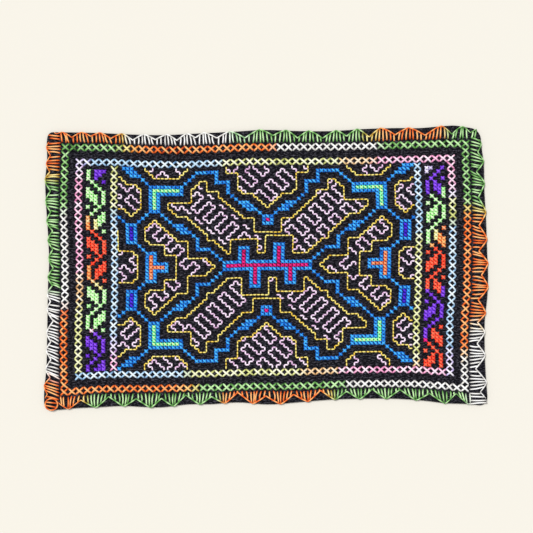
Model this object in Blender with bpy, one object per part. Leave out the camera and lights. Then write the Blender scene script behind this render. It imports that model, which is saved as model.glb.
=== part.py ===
"""Altar cloth of black cotton, laid flat: one sheet with a turned hem and raised counted stitching.

Metres, +Z up. The cloth lies on the plane z = 0 with its long side along X and its far side towards +Y.
The origin is under the middle of its box. Lengths in the tables are in millimetres, and places on the
counted grid are in cells from the middle stitch: a to the left, b towards the far side.
"""
import bpy
import numpy as np
from mathutils.geometry import delaunay_2d_cdt

MM = 0.001

# Heights above the surface that the cloth lies on
GROUND_TOP = 1.4      # one layer of cotton
STITCH_TOP = 2.0      # rows and figures of counted stitches
HEM_TOP = 2.2         # the turned hem under its edge stitches
FOLD_TOP = 1.3        # where the hem's fold starts to round over
FOLD_ROUND = 0.8      # how far in from the edge it has rounded over

# The counted grid
CELL_W = 3.1
CELL_H = 2.8
HALF_COLUMNS = 38.5   # from the middle of the middle stitch to either side of the field
ROWS_FAR = 28.5
ROWS_NEAR = 29.5
MIDDLE_ROW_Y = 2.2
LINE_HALF_WIDTH = 0.45

# Bands around the field: left and right ends in x, near and far ends in y
HEM_INNER = {"left": -159.0, "right": 156.6, "near": -92.0, "far": 93.6}
ROW_OUTER = {"left": -153.6, "right": 151.1, "near": -86.4, "far": 87.9}
ROW_INNER = {"left": -147.4, "right": 144.9, "near": -80.8, "far": 82.3}
SIDE_ROW_WIDTH = 5.9
LEAF_LEFT_X = -136.7
LEAF_RIGHT_X = 135.5
LEAF_TOP_ROW = 1.5    # from the field's far side to the middle of a leaf column's first stitch
LEAF_ROWS = 57
LEAF_BAY = 7
LEAF_MIDDLE = 2       # the middle one of a leaf column's five cells
RIGHT_LEAF_SHIFT = 9  # the right column is the left one upside down, this many rows further on
LEAF_BAYS = range(-3, 10)
LEAF_END = 0.2        # leaves reach this far past the middles of the end rows, and the vine stops short

# The cloth's uneven edges: place along the edge, and how far out the edge lies
FAR_EDGE = (
    (-180, 109.0), (-133, 108.2), (-107, 107.0), (-82, 106.6), (-56, 107.8), (-24, 109.4), (-5, 110.6),
    (27, 109.8), (52, 109.8), (78, 111.4), (104, 112.2), (123, 112.2), (142, 113.8), (150, 114.2),
    (161, 112.6), (180, 109.5),
)
NEAR_EDGE = (
    (-180, -112.6), (-168, -113.2), (-152, -111.8), (-133, -111.0), (-120, -110.2), (-82, -111.0),
    (-63, -108.8), (-44, -108.6), (-24, -107.2), (1, -108.8), (27, -107.0), (46, -105.4), (78, -104.2),
    (110, -104.6), (129, -106.2), (142, -107.8), (161, -108.6), (180, -110.8),
)
LEFT_EDGE = (
    (-114, -178.0), (-96, -177.8), (-83, -176.4), (-57, -175.6), (-32, -175.2), (-13, -174.8),
    (3, -174.0), (26, -174.8), (51, -176.4), (71, -177.0), (87, -175.6), (103, -175.6), (114, -173.2),
)
RIGHT_EDGE = (
    (-114, 176.6), (-102, 176.6), (-89, 175.6), (-57, 174.4), (-38, 174.8), (-25, 176.4), (-6, 177.2),
    (15, 176.4), (39, 175.6), (64, 174.2), (83, 173.8), (99, 171.8), (114, 170.6),
)
# How far each side's stitched rows wander from straight: place along the side, and the drift
FAR_DRIFT = (
    (-156, 0.0), (-118, -0.7), (-100, -1.6), (-80, -2.2), (-55, -1.8), (-38, -1.0), (-20, -0.1),
    (10, 0.2), (58, 0.5), (90, 1.2), (106, 1.7), (122, 2.2), (146, 3.0), (156, 3.1),
)
NEAR_DRIFT = (
    (-156, -2.6), (-134, -1.8), (-95, -1.4), (-54, -0.8), (-35, -0.4), (-12, 0.4), (26, 0.6),
    (42, 1.4), (74, 2.5), (106, 2.6), (122, 2.4), (138, 1.3), (156, 0.8),
)
LEFT_DRIFT = (
    (-92, -0.1), (-66, -0.3), (-40, 0.1), (-27, 0.9), (-2, 1.1), (24, 0.6), (37, -0.3), (62, -1.2),
    (88, 0.0), (94, 0.2),
)
RIGHT_DRIFT = (
    (-92, -1.2), (-60, -1.5), (-36, -0.9), (-23, 0.3), (-4, 0.7), (34, 1.1), (66, 0.4), (80, -0.5),
    (94, -0.6),
)
# Corners of the sheet, in the order near left, near right, far right, far left
CORNERS = (
    {"x": "left", "y": "near", "radius": 5.0},
    {"x": "right", "y": "near", "radius": 7.0},
    {"x": "right", "y": "far", "radius": 7.0},
    {"x": "left", "y": "far", "radius": 3.5},
)
EDGE_STEP = 9.0
CORNER_STEPS = 5
CORNER_PASSES = 4     # rounds of meeting two curved edges in one corner
SIDE_ROW_STEPS = 15
SIDE_ROW_OVERLAP = 1.5
MERGE_DISTANCE = 0.02
KEEP_FACES_INSIDE = 1  # the triangulation's way of filling the rings' insides


def smooth(table, at):
    """Height of a soft curve through a table's rows (place, value): cubic between each two rows."""
    places, values = np.array(table, dtype=float).T
    slopes = np.gradient(values, places)
    at = np.clip(np.asarray(at, dtype=float), places[0], places[-1])
    i = np.clip(np.searchsorted(places, at) - 1, 0, len(places) - 2)
    span = places[i + 1] - places[i]
    t = (at - places[i]) / span
    return ((1 + 2 * t) * (1 - t) ** 2 * values[i] + t * (1 - t) ** 2 * span * slopes[i]
            + t ** 2 * (3 - 2 * t) * values[i + 1] + t ** 2 * (t - 1) * span * slopes[i + 1])


def settle(points):
    """Where points of the straight layout lie on the cloth, with the drift of the four sides."""
    x, y = np.asarray(points, dtype=float).T
    u = np.clip((x - HEM_INNER["left"]) / (HEM_INNER["right"] - HEM_INNER["left"]), 0, 1)
    v = np.clip((y - HEM_INNER["near"]) / (HEM_INNER["far"] - HEM_INNER["near"]), 0, 1)
    across = (1 - u) * smooth(LEFT_DRIFT, y) + u * smooth(RIGHT_DRIFT, y)
    along = (1 - v) * smooth(NEAR_DRIFT, x) + v * smooth(FAR_DRIFT, x)
    return np.column_stack([x + across, y + along])


def on_grid(cells):
    """Layout points of (a, b) places on the counted grid."""
    a, b = np.asarray(cells, dtype=float).T
    return np.column_stack([-a * CELL_W, MIDDLE_ROW_Y + b * CELL_H])


def ellipse_corner(corner, start, end):
    """Points that turn a rounded corner from one edge's end to the next edge's start."""
    t = np.linspace(0, np.pi / 2, CORNER_STEPS)[1:-1, None]
    return corner + (start - corner) * (1 - np.sin(t)) + (end - corner) * (1 - np.cos(t))


def sheet_outline():
    """The sheet's edge, anticlockwise from the near left corner, centred on the middle of its box."""
    side = {"left": LEFT_EDGE, "right": RIGHT_EDGE, "near": NEAR_EDGE, "far": FAR_EDGE}
    spots = []
    for corner in CORNERS:
        spot = np.array([smooth(side[corner["x"]], 0), smooth(side[corner["y"]], 0)])
        for _ in range(CORNER_PASSES):
            spot = np.array([smooth(side[corner["x"]], spot[1]), smooth(side[corner["y"]], spot[0])])
        spots.append(spot)
    pieces = []
    for i, name in enumerate(("near", "right", "far", "left")):
        j = (i + 1) % 4
        axis = 0 if name in ("near", "far") else 1
        way = 1 if name in ("near", "right") else -1
        first = spots[i][axis] + way * CORNERS[i]["radius"]
        last = spots[j][axis] - way * CORNERS[j]["radius"]
        place = np.linspace(first, last, int(abs(last - first) / EDGE_STEP) + 1)
        edge = np.empty((len(place), 2))
        edge[:, axis] = place
        edge[:, 1 - axis] = smooth(side[name], place)
        pieces.append(edge)
    outline = []
    for i, edge in enumerate(pieces):
        following = pieces[(i + 1) % 4]
        outline += [edge, ellipse_corner(spots[(i + 1) % 4], edge[-1], following[0])]
    return np.concatenate(outline)


def drawn_in(outline, inset):
    """The outline moved inwards along its own normals."""
    run = np.roll(outline, -1, axis=0) - np.roll(outline, 1, axis=0)
    run /= np.linalg.norm(run, axis=1, keepdims=True)
    return outline + inset * np.column_stack([-run[:, 1], run[:, 0]])


def band_ring(band):
    """A closed ring on the cloth along a band's rectangle, with points often enough to follow the drift."""
    x = np.linspace(band["left"], band["right"], int((band["right"] - band["left"]) / EDGE_STEP) + 1)[:-1]
    y = np.linspace(band["near"], band["far"], int((band["far"] - band["near"]) / EDGE_STEP) + 1)[:-1]
    near = np.column_stack([x, np.full_like(x, band["near"])])
    right = np.column_stack([np.full_like(y, band["right"]), y])
    far = np.column_stack([x[0] + x[-1] - x + (band["right"] - x[-1]), np.full_like(x, band["far"])])
    left = np.column_stack([np.full_like(y, band["left"]), y[0] + y[-1] - y + (band["far"] - y[-1])])
    return settle(np.concatenate([near, right, far, left]))


def line_band(path, half=LINE_HALF_WIDTH):
    """Outline, in cells, of a stitched line of even width along a path, with mitred turns."""
    path = np.array(path, dtype=float)
    runs = np.diff(path, axis=0)
    runs /= np.linalg.norm(runs, axis=1, keepdims=True)
    normals = np.column_stack([-runs[:, 1], runs[:, 0]])
    before = np.vstack([normals[:1], normals])
    after = np.vstack([normals, normals[-1:]])
    mitre = (before + after) / (1 + (before * after).sum(axis=1))[:, None]
    ends = np.zeros_like(path)
    ends[0], ends[-1] = -runs[0], runs[-1]
    middle = path + ends * half
    return np.vstack([middle + mitre * half, (middle - mitre * half)[::-1]])


def mirrored(cells, ways=((1, 1), (-1, 1), (1, -1), (-1, -1))):
    """A shape's copies to the left and right and to the far and near half of the field."""
    return [np.array(cells, dtype=float) * way for way in ways]


def field_figures():
    """Outlines, in cells, of the figures and lines of cross stitch that fill the field."""
    hook = [(30.5, 23.5), (21.5, 23.5), (21.5, 20.5), (27.5, 20.5), (27.5, 15.5), (30.5, 15.5)]
    tall_box = [(36.5, 12.5), (33.5, 12.5), (33.5, 6.5), (36.5, 6.5)]
    small_box = [(1.5, 14.5), (-1.5, 14.5), (-1.5, 11.5), (1.5, 11.5)]
    side_tee = [(31.5, 4.5), (28.5, 4.5), (28.5, 1.5), (25.5, 1.5),
                (25.5, -1.5), (28.5, -1.5), (28.5, -4.5), (31.5, -4.5)]
    half_bar = [(11.5, 1.5), (7.5, 1.5), (7.5, 5.5), (4.5, 5.5), (4.5, 1.5),
                (-1.5, 1.5), (-1.5, 6.5), (-4.5, 6.5), (-4.5, 1.5), (-11.5, 1.5)]
    figures = mirrored(hook) + mirrored(tall_box)
    figures += mirrored(small_box, ways=((1, 1), (1, -1))) + mirrored(side_tee, ways=((1, 1), (-1, 1)))
    figures.append(np.vstack([half_bar, -np.array(half_bar)]))
    # A slanted patch is three rows of three stitches, each row one cell further along
    for a, b in ((22.5, 12.5), (5.5, 18.5)):
        figures += mirrored([(a - 1, b), (a + 2, b), (a, b - 3), (a - 3, b - 3)])
    corner = [(34.8, 29), (37.8, 29), (35.5, 25.5), (32.5, 25.5)]
    figures += mirrored(corner, ways=((1, 1), (-1, 1)))
    corner = [(34.5, -28.5), (37.5, -28.5), (35.5, -25.5), (32.5, -25.5)]
    figures += mirrored(corner, ways=((1, 1), (-1, 1)))
    figures += mirrored(line_band([(36.5, -27.5), (38.8, -29.8)]), ways=((1, 1), (-1, 1)))
    for path in (
        [(30, 23), (33, 26)],
        [(30, 16), (34, 12)],
        [(36, 12), (39, 15)],
        [(34, 7), (31, 4)],
        [(28, 16), (24, 12)],
        [(20, 10), (18, 8), (18, 5), (15, 5), (11, 1)],
        [(22, 23), (18, 27), (13, 27), (13, 24), (10, 24), (10, 21), (7, 18)],
        [(3, 16), (1, 14)],
    ):
        figures += mirrored(line_band(path))
    return [settle(on_grid(figure)) for figure in figures]


def leaf_column(middle_x, flip, shift):
    """Outlines of one column's vine, leaves and dots: cells across, rows down, one leaf to each bay."""
    def place(cells):
        column, row = np.asarray(cells, dtype=float).T
        row = row + shift
        row = LEAF_ROWS - 1 - row if flip else row
        far = MIDDLE_ROW_Y + ROWS_FAR * CELL_H
        return settle(np.column_stack([middle_x + (column - LEAF_MIDDLE) * CELL_W,
                                       far - (row + LEAF_TOP_ROW) * CELL_H]))

    first, last = -shift, LEAF_ROWS - 1 - shift
    # A leaf and its dot, each as its left and its right side from far to near
    leaf = [(-0.5, 4.5), (-0.5, 7.5), (1.5, 9.5)], [(0.5, 4.5), (2.5, 6.5), (2.5, 9.5)]
    dot = [(-0.45, 9.55), (-0.45, 10.45)], [(0.45, 9.55), (0.45, 10.45)]
    vine, shapes = [], []
    for bay in LEAF_BAYS:
        away = bay * LEAF_BAY
        vine += [(0 if bay % 2 else 2 * LEAF_MIDDLE, away + 6), (0 if bay % 2 else 2 * LEAF_MIDDLE, away + 9)]
        for sides in (leaf, dot):
            rows = [clipped(np.add(side, (0, away)), first - LEAF_END, last + LEAF_END) for side in sides]
            if min(map(len, rows)) < 2:
                continue
            shape = np.vstack([rows[0], rows[1][::-1]])
            shapes.append(place(shape * (-1, 1) + (2 * LEAF_MIDDLE, 0) if bay % 2 else shape))
    return shapes + [place(line_band(clipped(vine, first + LEAF_END, last - LEAF_END)))]


def clipped(path, first, last):
    """The part of a path, given as (column, row), whose rows lie between first and last."""
    path = np.array(path, dtype=float)
    rows = np.unique(np.clip(path[:, 1], first, last))
    return np.column_stack([np.interp(rows, path[:, 1], path[:, 0]), rows])


def side_row(side):
    """Outline of the row of stitches that closes the field off from a leaf column."""
    field = HALF_COLUMNS * CELL_W
    inner, outer = (-field, -field - SIDE_ROW_WIDTH) if side == "left" else (field, field + SIDE_ROW_WIDTH)
    y = np.linspace(ROW_INNER["near"] - SIDE_ROW_OVERLAP, ROW_INNER["far"] + SIDE_ROW_OVERLAP, SIDE_ROW_STEPS)
    return settle(np.vstack([np.column_stack([np.full_like(y, inner), y]),
                             np.column_stack([np.full_like(y, outer), y[::-1]])]))


def anticlockwise(ring):
    """The ring, turned round if it ran clockwise."""
    x, y = ring.T
    area = (x * np.roll(y, -1) - np.roll(x, -1) * y).sum()
    return ring if area > 0 else ring[::-1]


def plan_triangles(rings):
    """Split the first ring's inside along all rings: points, triangles, and each one's set of rings."""
    points, faces = [], []
    for ring in rings:
        faces.append(list(range(len(points), len(points) + len(ring))))
        points += [tuple(point) for point in anticlockwise(ring)]
    found = delaunay_2d_cdt(points, [], faces, KEEP_FACES_INSIDE, MERGE_DISTANCE, True)
    inside = [(triangle, set(owners)) for triangle, owners in zip(found[2], found[5]) if 0 in owners]
    return found[0], [triangle for triangle, _ in inside], found[3], [owners for _, owners in inside]


def build_sheet_mesh():
    """One closed body: flat underside, rounded fold at the edge, hem, ground and raised stitches."""
    outline = sheet_outline()
    top_ring = drawn_in(outline, FOLD_ROUND)
    raised = field_figures() + [side_row("left"), side_row("right")]
    raised += leaf_column(LEAF_LEFT_X, False, 0) + leaf_column(LEAF_RIGHT_X, True, RIGHT_LEAF_SHIFT)
    rings = [top_ring, band_ring(HEM_INNER), band_ring(ROW_OUTER), band_ring(ROW_INNER)] + raised
    ground, row_outside, row_inside = 1, 2, 3
    points, triangles, origins, owners = plan_triangles(rings)

    def level(rings_here):
        if row_inside in rings_here:
            return STITCH_TOP if max(rings_here) > row_inside else GROUND_TOP
        if row_outside in rings_here:
            return STITCH_TOP
        return GROUND_TOP if ground in rings_here else HEM_TOP

    heights = [level(rings_here) for rings_here in owners]
    made, vertices, faces = {}, [], []

    def corner(point, height):
        if (point, height) not in made:
            made[point, height] = len(vertices)
            vertices.append((points[point][0], points[point][1], height))
        return made[point, height]

    beside = {}
    for triangle, height in zip(triangles, heights):
        faces.append([corner(point, height) for point in triangle])
        for start, end in zip(triangle, triangle[1:] + triangle[:1]):
            beside[start, end] = height
    for (start, end), height in beside.items():
        other = beside.get((end, start), height)
        if other < height:
            faces.append([corner(end, height), corner(start, height),
                          corner(start, other), corner(end, other)])

    # The edge: the top ring's own corners, then rings down the fold to the underside
    ring_corner = {}
    for point, sources in enumerate(origins):
        for source in sources:
            if source < len(top_ring):
                ring_corner[source] = corner(point, HEM_TOP)
    above = [ring_corner[i] for i in range(len(top_ring))]
    for height in (FOLD_TOP, 0.0):
        below = [len(vertices) + i for i in range(len(outline))]
        vertices += [(x, y, height) for x, y in outline]
        for i in range(len(outline)):
            j = (i + 1) % len(outline)
            faces.append([above[i], below[i], below[j], above[j]])
        above = below
    faces.append(above[::-1])

    spots = np.array(vertices)
    spots[:, :2] -= (outline.min(axis=0) + outline.max(axis=0)) / 2
    mesh = bpy.data.meshes.new("ground_cloth")
    mesh.from_pydata((spots * MM).tolist(), [], faces)
    mesh.validate()
    return mesh


def black_cotton():
    """Dull black cotton of an even weave."""
    material = bpy.data.materials.new("black_cotton")
    material.use_nodes = True
    shader = material.node_tree.nodes["Principled BSDF"]
    shader.inputs["Base Color"].default_value = (0.019, 0.019, 0.023, 1.0)
    shader.inputs["Roughness"].default_value = 0.9
    shader.inputs["Metallic"].default_value = 0.0
    return material


def main():
    """Clear the scene and make the cloth."""
    for thing in list(bpy.data.objects):
        bpy.data.objects.remove(thing, do_unlink=True)
    cloth = bpy.data.objects.new("ground_cloth", build_sheet_mesh())
    cloth.data.materials.append(black_cotton())
    bpy.context.scene.collection.objects.link(cloth)


main()
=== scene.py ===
"""Looks of a small altar cloth: black even-weave cotton, embroidered by hand in bright threads.

Plan sizes are millimetres on the straight layout that the stitches were counted on, x to the right and
y to the far side. Layout.lay() gives where such a point lies on the real, slightly uneven cloth. Places
on the counted grid are in cells from the middle stitch, and corners between cells end in .5. Meshes are
in metres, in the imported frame.
"""

import logging
from dataclasses import dataclass, field
from enum import Enum
from functools import partial

import bpy
import numpy as np
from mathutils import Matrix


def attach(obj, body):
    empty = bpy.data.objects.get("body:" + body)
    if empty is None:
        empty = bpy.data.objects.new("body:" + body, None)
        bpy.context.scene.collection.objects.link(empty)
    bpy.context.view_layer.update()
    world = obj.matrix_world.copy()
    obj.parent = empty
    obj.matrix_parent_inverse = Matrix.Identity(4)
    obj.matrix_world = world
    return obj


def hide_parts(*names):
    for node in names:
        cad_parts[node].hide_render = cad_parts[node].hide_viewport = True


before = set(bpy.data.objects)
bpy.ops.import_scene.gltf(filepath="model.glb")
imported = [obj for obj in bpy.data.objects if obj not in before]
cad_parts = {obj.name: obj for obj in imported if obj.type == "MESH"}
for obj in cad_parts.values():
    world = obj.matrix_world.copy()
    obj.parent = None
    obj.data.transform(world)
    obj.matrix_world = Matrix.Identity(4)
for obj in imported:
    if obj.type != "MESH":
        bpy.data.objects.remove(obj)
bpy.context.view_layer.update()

MM = 0.001
PHOTO_SIDE = 533          # pixels across the photograph
MM_PER_PIXEL = 0.8
PHOTO_ORIGIN = (266.5, 268.25)   # the pixel that shows the layout's origin
SEED = 38

Table = tuple[tuple[float, float], ...]
Chart = tuple[tuple[float, ...], ...]

log = logging.getLogger("altar_cloth")


def linear(hex_colour: str) -> np.ndarray:
    """Turn an sRGB hex colour into linear red, green and blue.

    Args:
        hex_colour: Six hex digits after a hash sign.

    Returns:
        Three linear values from 0 to 1.
    """
    code = np.array([int(hex_colour[i:i + 2], 16) for i in (1, 3, 5)]) / 255
    return np.where(code <= 0.04045, code / 12.92, ((code + 0.055) / 1.055) ** 2.4)


def shade(ramp: np.ndarray, tone: np.ndarray) -> np.ndarray:
    """Colour at a tone: painted shade at 0, the dye's body at 0.5, painted highlight at 1, straight blends
    between.

    Args:
        ramp: The painted shade, body and painted highlight colours, in the last axis but one.
        tone: Tones from 0 to 1.

    Returns:
        One linear colour for each tone.
    """
    weight = np.clip(1 - np.abs(2 * tone[..., None] - np.arange(3)), 0, 1)
    return (weight[..., None] * ramp).sum(axis=-2)


class Dye(Enum):
    """Thread colours: a painted shade for the gaps between stitches, the dye's body, and a painted highlight
    for the crowns.
    """

    BLUE = ("#033480", "#0674e0", "#4cbcff")
    CRIMSON = ("#5c002c", "#cc005c", "#f8248c")
    MINT = ("#18b894", "#70ffb4", "#dcffb0")
    CORAL = ("#b03008", "#ff7830", "#ffb084")
    VIOLET = ("#140058", "#300cb8", "#5830e8")
    GOLD = ("#946c08", "#f4c834", "#fff28c")
    ROSE = ("#8c5c84", "#e4b8e0", "#fff0ff")
    LEAF_GREEN = ("#489c3c", "#a8fc90", "#e4ffd0")
    LEAF_RED = ("#a81008", "#ff3818", "#ff7454")
    PURPLE = ("#2c0470", "#6418cc", "#9454f4")
    AMBER = ("#a04810", "#f8a050", "#ffe8b0")
    LEMON = ("#8c8030", "#ece08c", "#ffffc8")
    ORANGE = ("#a02c04", "#f8701c", "#ffbe78")
    GREEN = ("#1c4414", "#68a850", "#c8f0b0")
    PALE_GREEN = ("#3c6c34", "#98c88c", "#e0f8d8")
    MUSTARD = ("#5c3c04", "#c89c30", "#fcec9c")
    WHITE = ("#a09ca0", "#e8e6e0", "#ffffff")
    CREAM = ("#a8743c", "#f4d8a0", "#fffcec")
    PALE_BLUE = ("#4c78a8", "#a8d0f0", "#f0fcff")
    PALE_LIME = ("#848840", "#dce08c", "#ffffe4")
    PINK = ("#b04c84", "#fcacd4", "#fff0fa")
    LILAC = ("#7864a8", "#d0c0f0", "#fcf8ff")
    PEACH = ("#a06c38", "#f4c890", "#fff8e4")

    def ramp(self) -> np.ndarray:
        """The painted shade, body and painted highlight colours, linear."""
        return np.array([linear(code) for code in self.value])

    def tones(self, tone: np.ndarray) -> np.ndarray:
        """The dye's colours at tones from 0 to 1, from painted shade to painted highlight."""
        return shade(self.ramp(), tone)


def smooth(table: Table, at: np.ndarray) -> np.ndarray:
    """Height of a soft curve through a table's rows (place, value).

    Between two rows it is the cubic that has the rows' values and the slopes of their neighbours.

    Args:
        table: Rows of place and value, in rising order of place.
        at: Places to read.

    Returns:
        One value for each place.
    """
    places, values = np.array(table, dtype=float).T
    slopes = np.gradient(values, places)
    at = np.clip(np.asarray(at, dtype=float), places[0], places[-1])
    i = np.clip(np.searchsorted(places, at) - 1, 0, len(places) - 2)
    span = places[i + 1] - places[i]
    t = (at - places[i]) / span
    return ((1 + 2 * t) * (1 - t) ** 2 * values[i] + t * (1 - t) ** 2 * span * slopes[i]
            + t ** 2 * (3 - 2 * t) * values[i + 1] + t ** 2 * (t - 1) * span * slopes[i + 1])


def ease(t: np.ndarray) -> np.ndarray:
    """A soft step from 0 to 1: 3t squared less 2t cubed."""
    t = np.clip(t, 0, 1)
    return t * t * (3 - 2 * t)


class Side(Enum):
    """Sides of the cloth: the axis that runs along each (0 is x), and which way is out of the cloth."""

    NEAR = (0, -1)
    RIGHT = (1, 1)
    FAR = (0, 1)
    LEFT = (1, -1)

    @property
    def axis(self) -> int:
        """The axis that runs along the side."""
        return self.value[0]

    @property
    def out(self) -> int:
        """Plus or minus one, for out of the cloth."""
        return self.value[1]

    def plan(self, along: np.ndarray, across: np.ndarray) -> np.ndarray:
        """Plan points from places along and across the side."""
        return np.stack([along, across] if self.axis == 0 else [across, along], axis=-1)


@dataclass(frozen=True)
class Band:
    """A rectangle of the straight layout, in millimetres."""

    left: float
    right: float
    near: float
    far: float

    def edge(self, side: Side) -> float:
        """Where one side of the rectangle lies."""
        return getattr(self, side.name.lower())

    def run(self, side: Side) -> tuple[float, float]:
        """Where a side of the rectangle starts and ends."""
        return (self.left, self.right) if side.axis == 0 else (self.near, self.far)


@dataclass(frozen=True)
class Layout:
    """The cloth's counted grid, bands and uneven edges."""

    cell_w: float = 3.1
    cell_h: float = 2.8
    right_stretch: float = 1.0155    # the right half is stitched a little wider, in one column less
    right_columns: float = 37.5
    rows_far: float = 28.5
    rows_near: float = 29.5
    middle_row_y: float = 2.2
    ground_top: float = 1.4
    hem_top: float = 2.2
    hem_step: float = 1.4        # how wide the slope from hem to ground is
    fold_round: float = 0.8
    pucker: float = 0.11         # height of the cloth's soft unevenness
    rim_row: Band = Band(-165.2, 162.8, -97.8, 99.6)
    hem_inner: Band = Band(-159.0, 156.6, -92.0, 93.6)
    row_outer: Band = Band(-153.6, 151.1, -86.4, 87.9)
    row_inner: Band = Band(-147.4, 144.9, -80.8, 82.3)
    # The cloth's edges: place along the side, and how far out the edge lies
    far_edge: Table = (
        (-180, 109.0), (-133, 108.2), (-107, 107.0), (-82, 106.6), (-56, 107.8), (-24, 109.4),
        (-5, 110.6), (27, 109.8), (52, 109.8), (78, 111.4), (104, 112.2), (123, 112.2), (142, 113.8),
        (150, 114.2), (161, 112.6), (180, 109.5),
    )
    near_edge: Table = (
        (-180, -112.6), (-168, -113.2), (-152, -111.8), (-133, -111.0), (-120, -110.2), (-82, -111.0),
        (-63, -108.8), (-44, -108.6), (-24, -107.2), (1, -108.8), (27, -107.0), (46, -105.4),
        (78, -104.2), (110, -104.6), (129, -106.2), (142, -107.8), (161, -108.6), (180, -110.8),
    )
    left_edge: Table = (
        (-114, -178.0), (-96, -177.8), (-83, -176.4), (-57, -175.6), (-32, -175.2), (-13, -174.8),
        (3, -174.0), (26, -174.8), (51, -176.4), (71, -177.0), (87, -175.6), (103, -175.6),
        (114, -173.2),
    )
    right_edge: Table = (
        (-114, 176.6), (-102, 176.6), (-89, 175.6), (-57, 174.4), (-38, 174.8), (-25, 176.4),
        (-6, 177.2), (15, 176.4), (39, 175.6), (64, 174.2), (83, 173.8), (99, 171.8), (114, 170.6),
    )
    # How far the stitched rows wander from straight: place along the side, and the drift
    far_drift: Table = (
        (-156, 0.0), (-118, -0.7), (-100, -1.6), (-80, -2.2), (-55, -1.8), (-38, -1.0), (-20, -0.1),
        (10, 0.2), (58, 0.5), (90, 1.2), (106, 1.7), (122, 2.2), (146, 3.0), (156, 3.1),
    )
    near_drift: Table = (
        (-162, -4.2), (-154, -3.5), (-146, -2.8), (-134, -1.9), (-95, -1.4), (-54, -0.8), (-35, -0.4),
        (-12, 0.4), (26, 0.6), (42, 1.4), (74, 2.5), (106, 2.6), (122, 2.3), (138, 1.1), (148, 0.2),
        (158, -0.9),
    )
    left_drift: Table = (
        (-92, 0.5), (-66, -0.1), (-40, 0.1), (-27, 0.9), (-2, 1.1), (24, 0.6), (37, 0.0),
        (62, 0.1), (80, 0.8), (94, 1.5),
    )
    middle_drift: Table = (
        (-92, 0.2), (10, 0.4), (29, 0.9), (40, 1.1), (60, 0.5), (80, 0.2), (94, 0.2),
    )
    right_drift: Table = (
        (-92, -1.2), (-60, -1.5), (-36, -0.9), (-23, 0.3), (-4, 0.7), (34, 1.1), (66, 0.4),
        (80, -0.5), (94, -0.6),
    )
    corner_radii: tuple[float, ...] = (5.0, 7.0, 7.0, 3.5)   # near left, near right, far right, far left
    corner_passes: int = 4       # rounds of meeting two curved edges in one corner
    solid_step: float = 9.0      # space between points along the solid's edge
    solid_turns: int = 5         # points that turn one of its corners

    def drift(self, points: np.ndarray) -> np.ndarray:
        """How far the cloth has wandered from the straight layout.

        Sideways it is blended from the left side over the middle to the right side, and lengthways from
        the near side to the far side.
        """
        x, y = points[..., 0], points[..., 1]
        band = self.hem_inner
        u = np.clip((x - band.left) / (band.right - band.left), 0, 1)
        v = np.clip((y - band.near) / (band.far - band.near), 0, 1)
        tables = np.stack([smooth(table, y)
                           for table in (self.left_drift, self.middle_drift, self.right_drift)])
        weights = np.clip(1 - np.abs(2 * u - np.arange(3).reshape(3, *[1] * u.ndim)), 0, 1)
        across = (weights * tables).sum(axis=0)
        along = (1 - v) * smooth(self.near_drift, x) + v * smooth(self.far_drift, x)
        return np.stack([across, along], axis=-1)

    def on_grid(self, cells: np.ndarray) -> np.ndarray:
        """Layout points of places on the counted grid."""
        cells = np.asarray(cells, dtype=float)
        wide = np.where(cells[..., 0] > 0, self.right_stretch * self.cell_w, self.cell_w)
        return np.stack([cells[..., 0] * wide, cells[..., 1] * self.cell_h + self.middle_row_y], axis=-1)

    def edge(self, side: Side, along: np.ndarray) -> np.ndarray:
        """Where the cloth ends on one side, on the cloth."""
        return smooth(getattr(self, side.name.lower() + "_edge"), along)

    def hem(self, points: np.ndarray) -> np.ndarray:
        """1 on the hem and 0 inside it, from layout points, with a soft step between."""
        x, y = points[..., 0], points[..., 1]
        band = self.hem_inner
        outside = np.maximum.reduce([band.left - x, x - band.right, band.near - y, y - band.far])
        return ease(outside / self.hem_step + 0.5)

    def puckers(self, points: np.ndarray) -> np.ndarray:
        """Soft unevenness of the cloth: three crossing waves, 23 to 29 mm long."""
        x, y = points[..., 0], points[..., 1]
        waves = (np.sin(x / 3.7 + np.sin(y / 11) * 1.4) * 0.35 + np.sin(y / 4.6 + np.sin(x / 17) * 1.8) * 0.35
                 + np.sin((x + 2 * y) / 9.7) * 0.3)
        return self.pucker * waves

    def top(self, points: np.ndarray) -> np.ndarray:
        """Height of the cloth's upper face over layout points."""
        return self.ground_top + (self.hem_top - self.ground_top) * self.hem(points) + self.puckers(points)

    def lay(self, points: np.ndarray, above: np.ndarray | float = 0.0) -> np.ndarray:
        """Lay layout points on the cloth.

        Args:
            points: Layout points, with x and y in the last axis.
            above: Height over the cloth's upper face.

        Returns:
            Points on the cloth, with x, y and z in the last axis.
        """
        points = np.asarray(points, dtype=float)
        plan = points + self.drift(points) - self.middle
        return np.concatenate([plan, (self.top(points) + above)[..., None]], axis=-1)

    def corners(self) -> np.ndarray:
        """Where the edges of neighbouring sides meet, from the near left corner anticlockwise."""
        spots = []
        for beside, side in ((Side.LEFT, Side.NEAR), (Side.RIGHT, Side.NEAR), (Side.RIGHT, Side.FAR),
                             (Side.LEFT, Side.FAR)):
            x, y = 0.0, 0.0
            for _ in range(self.corner_passes):
                x, y = float(self.edge(beside, y)), float(self.edge(side, x))
            spots.append((x, y))
        return np.array(spots)

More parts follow.
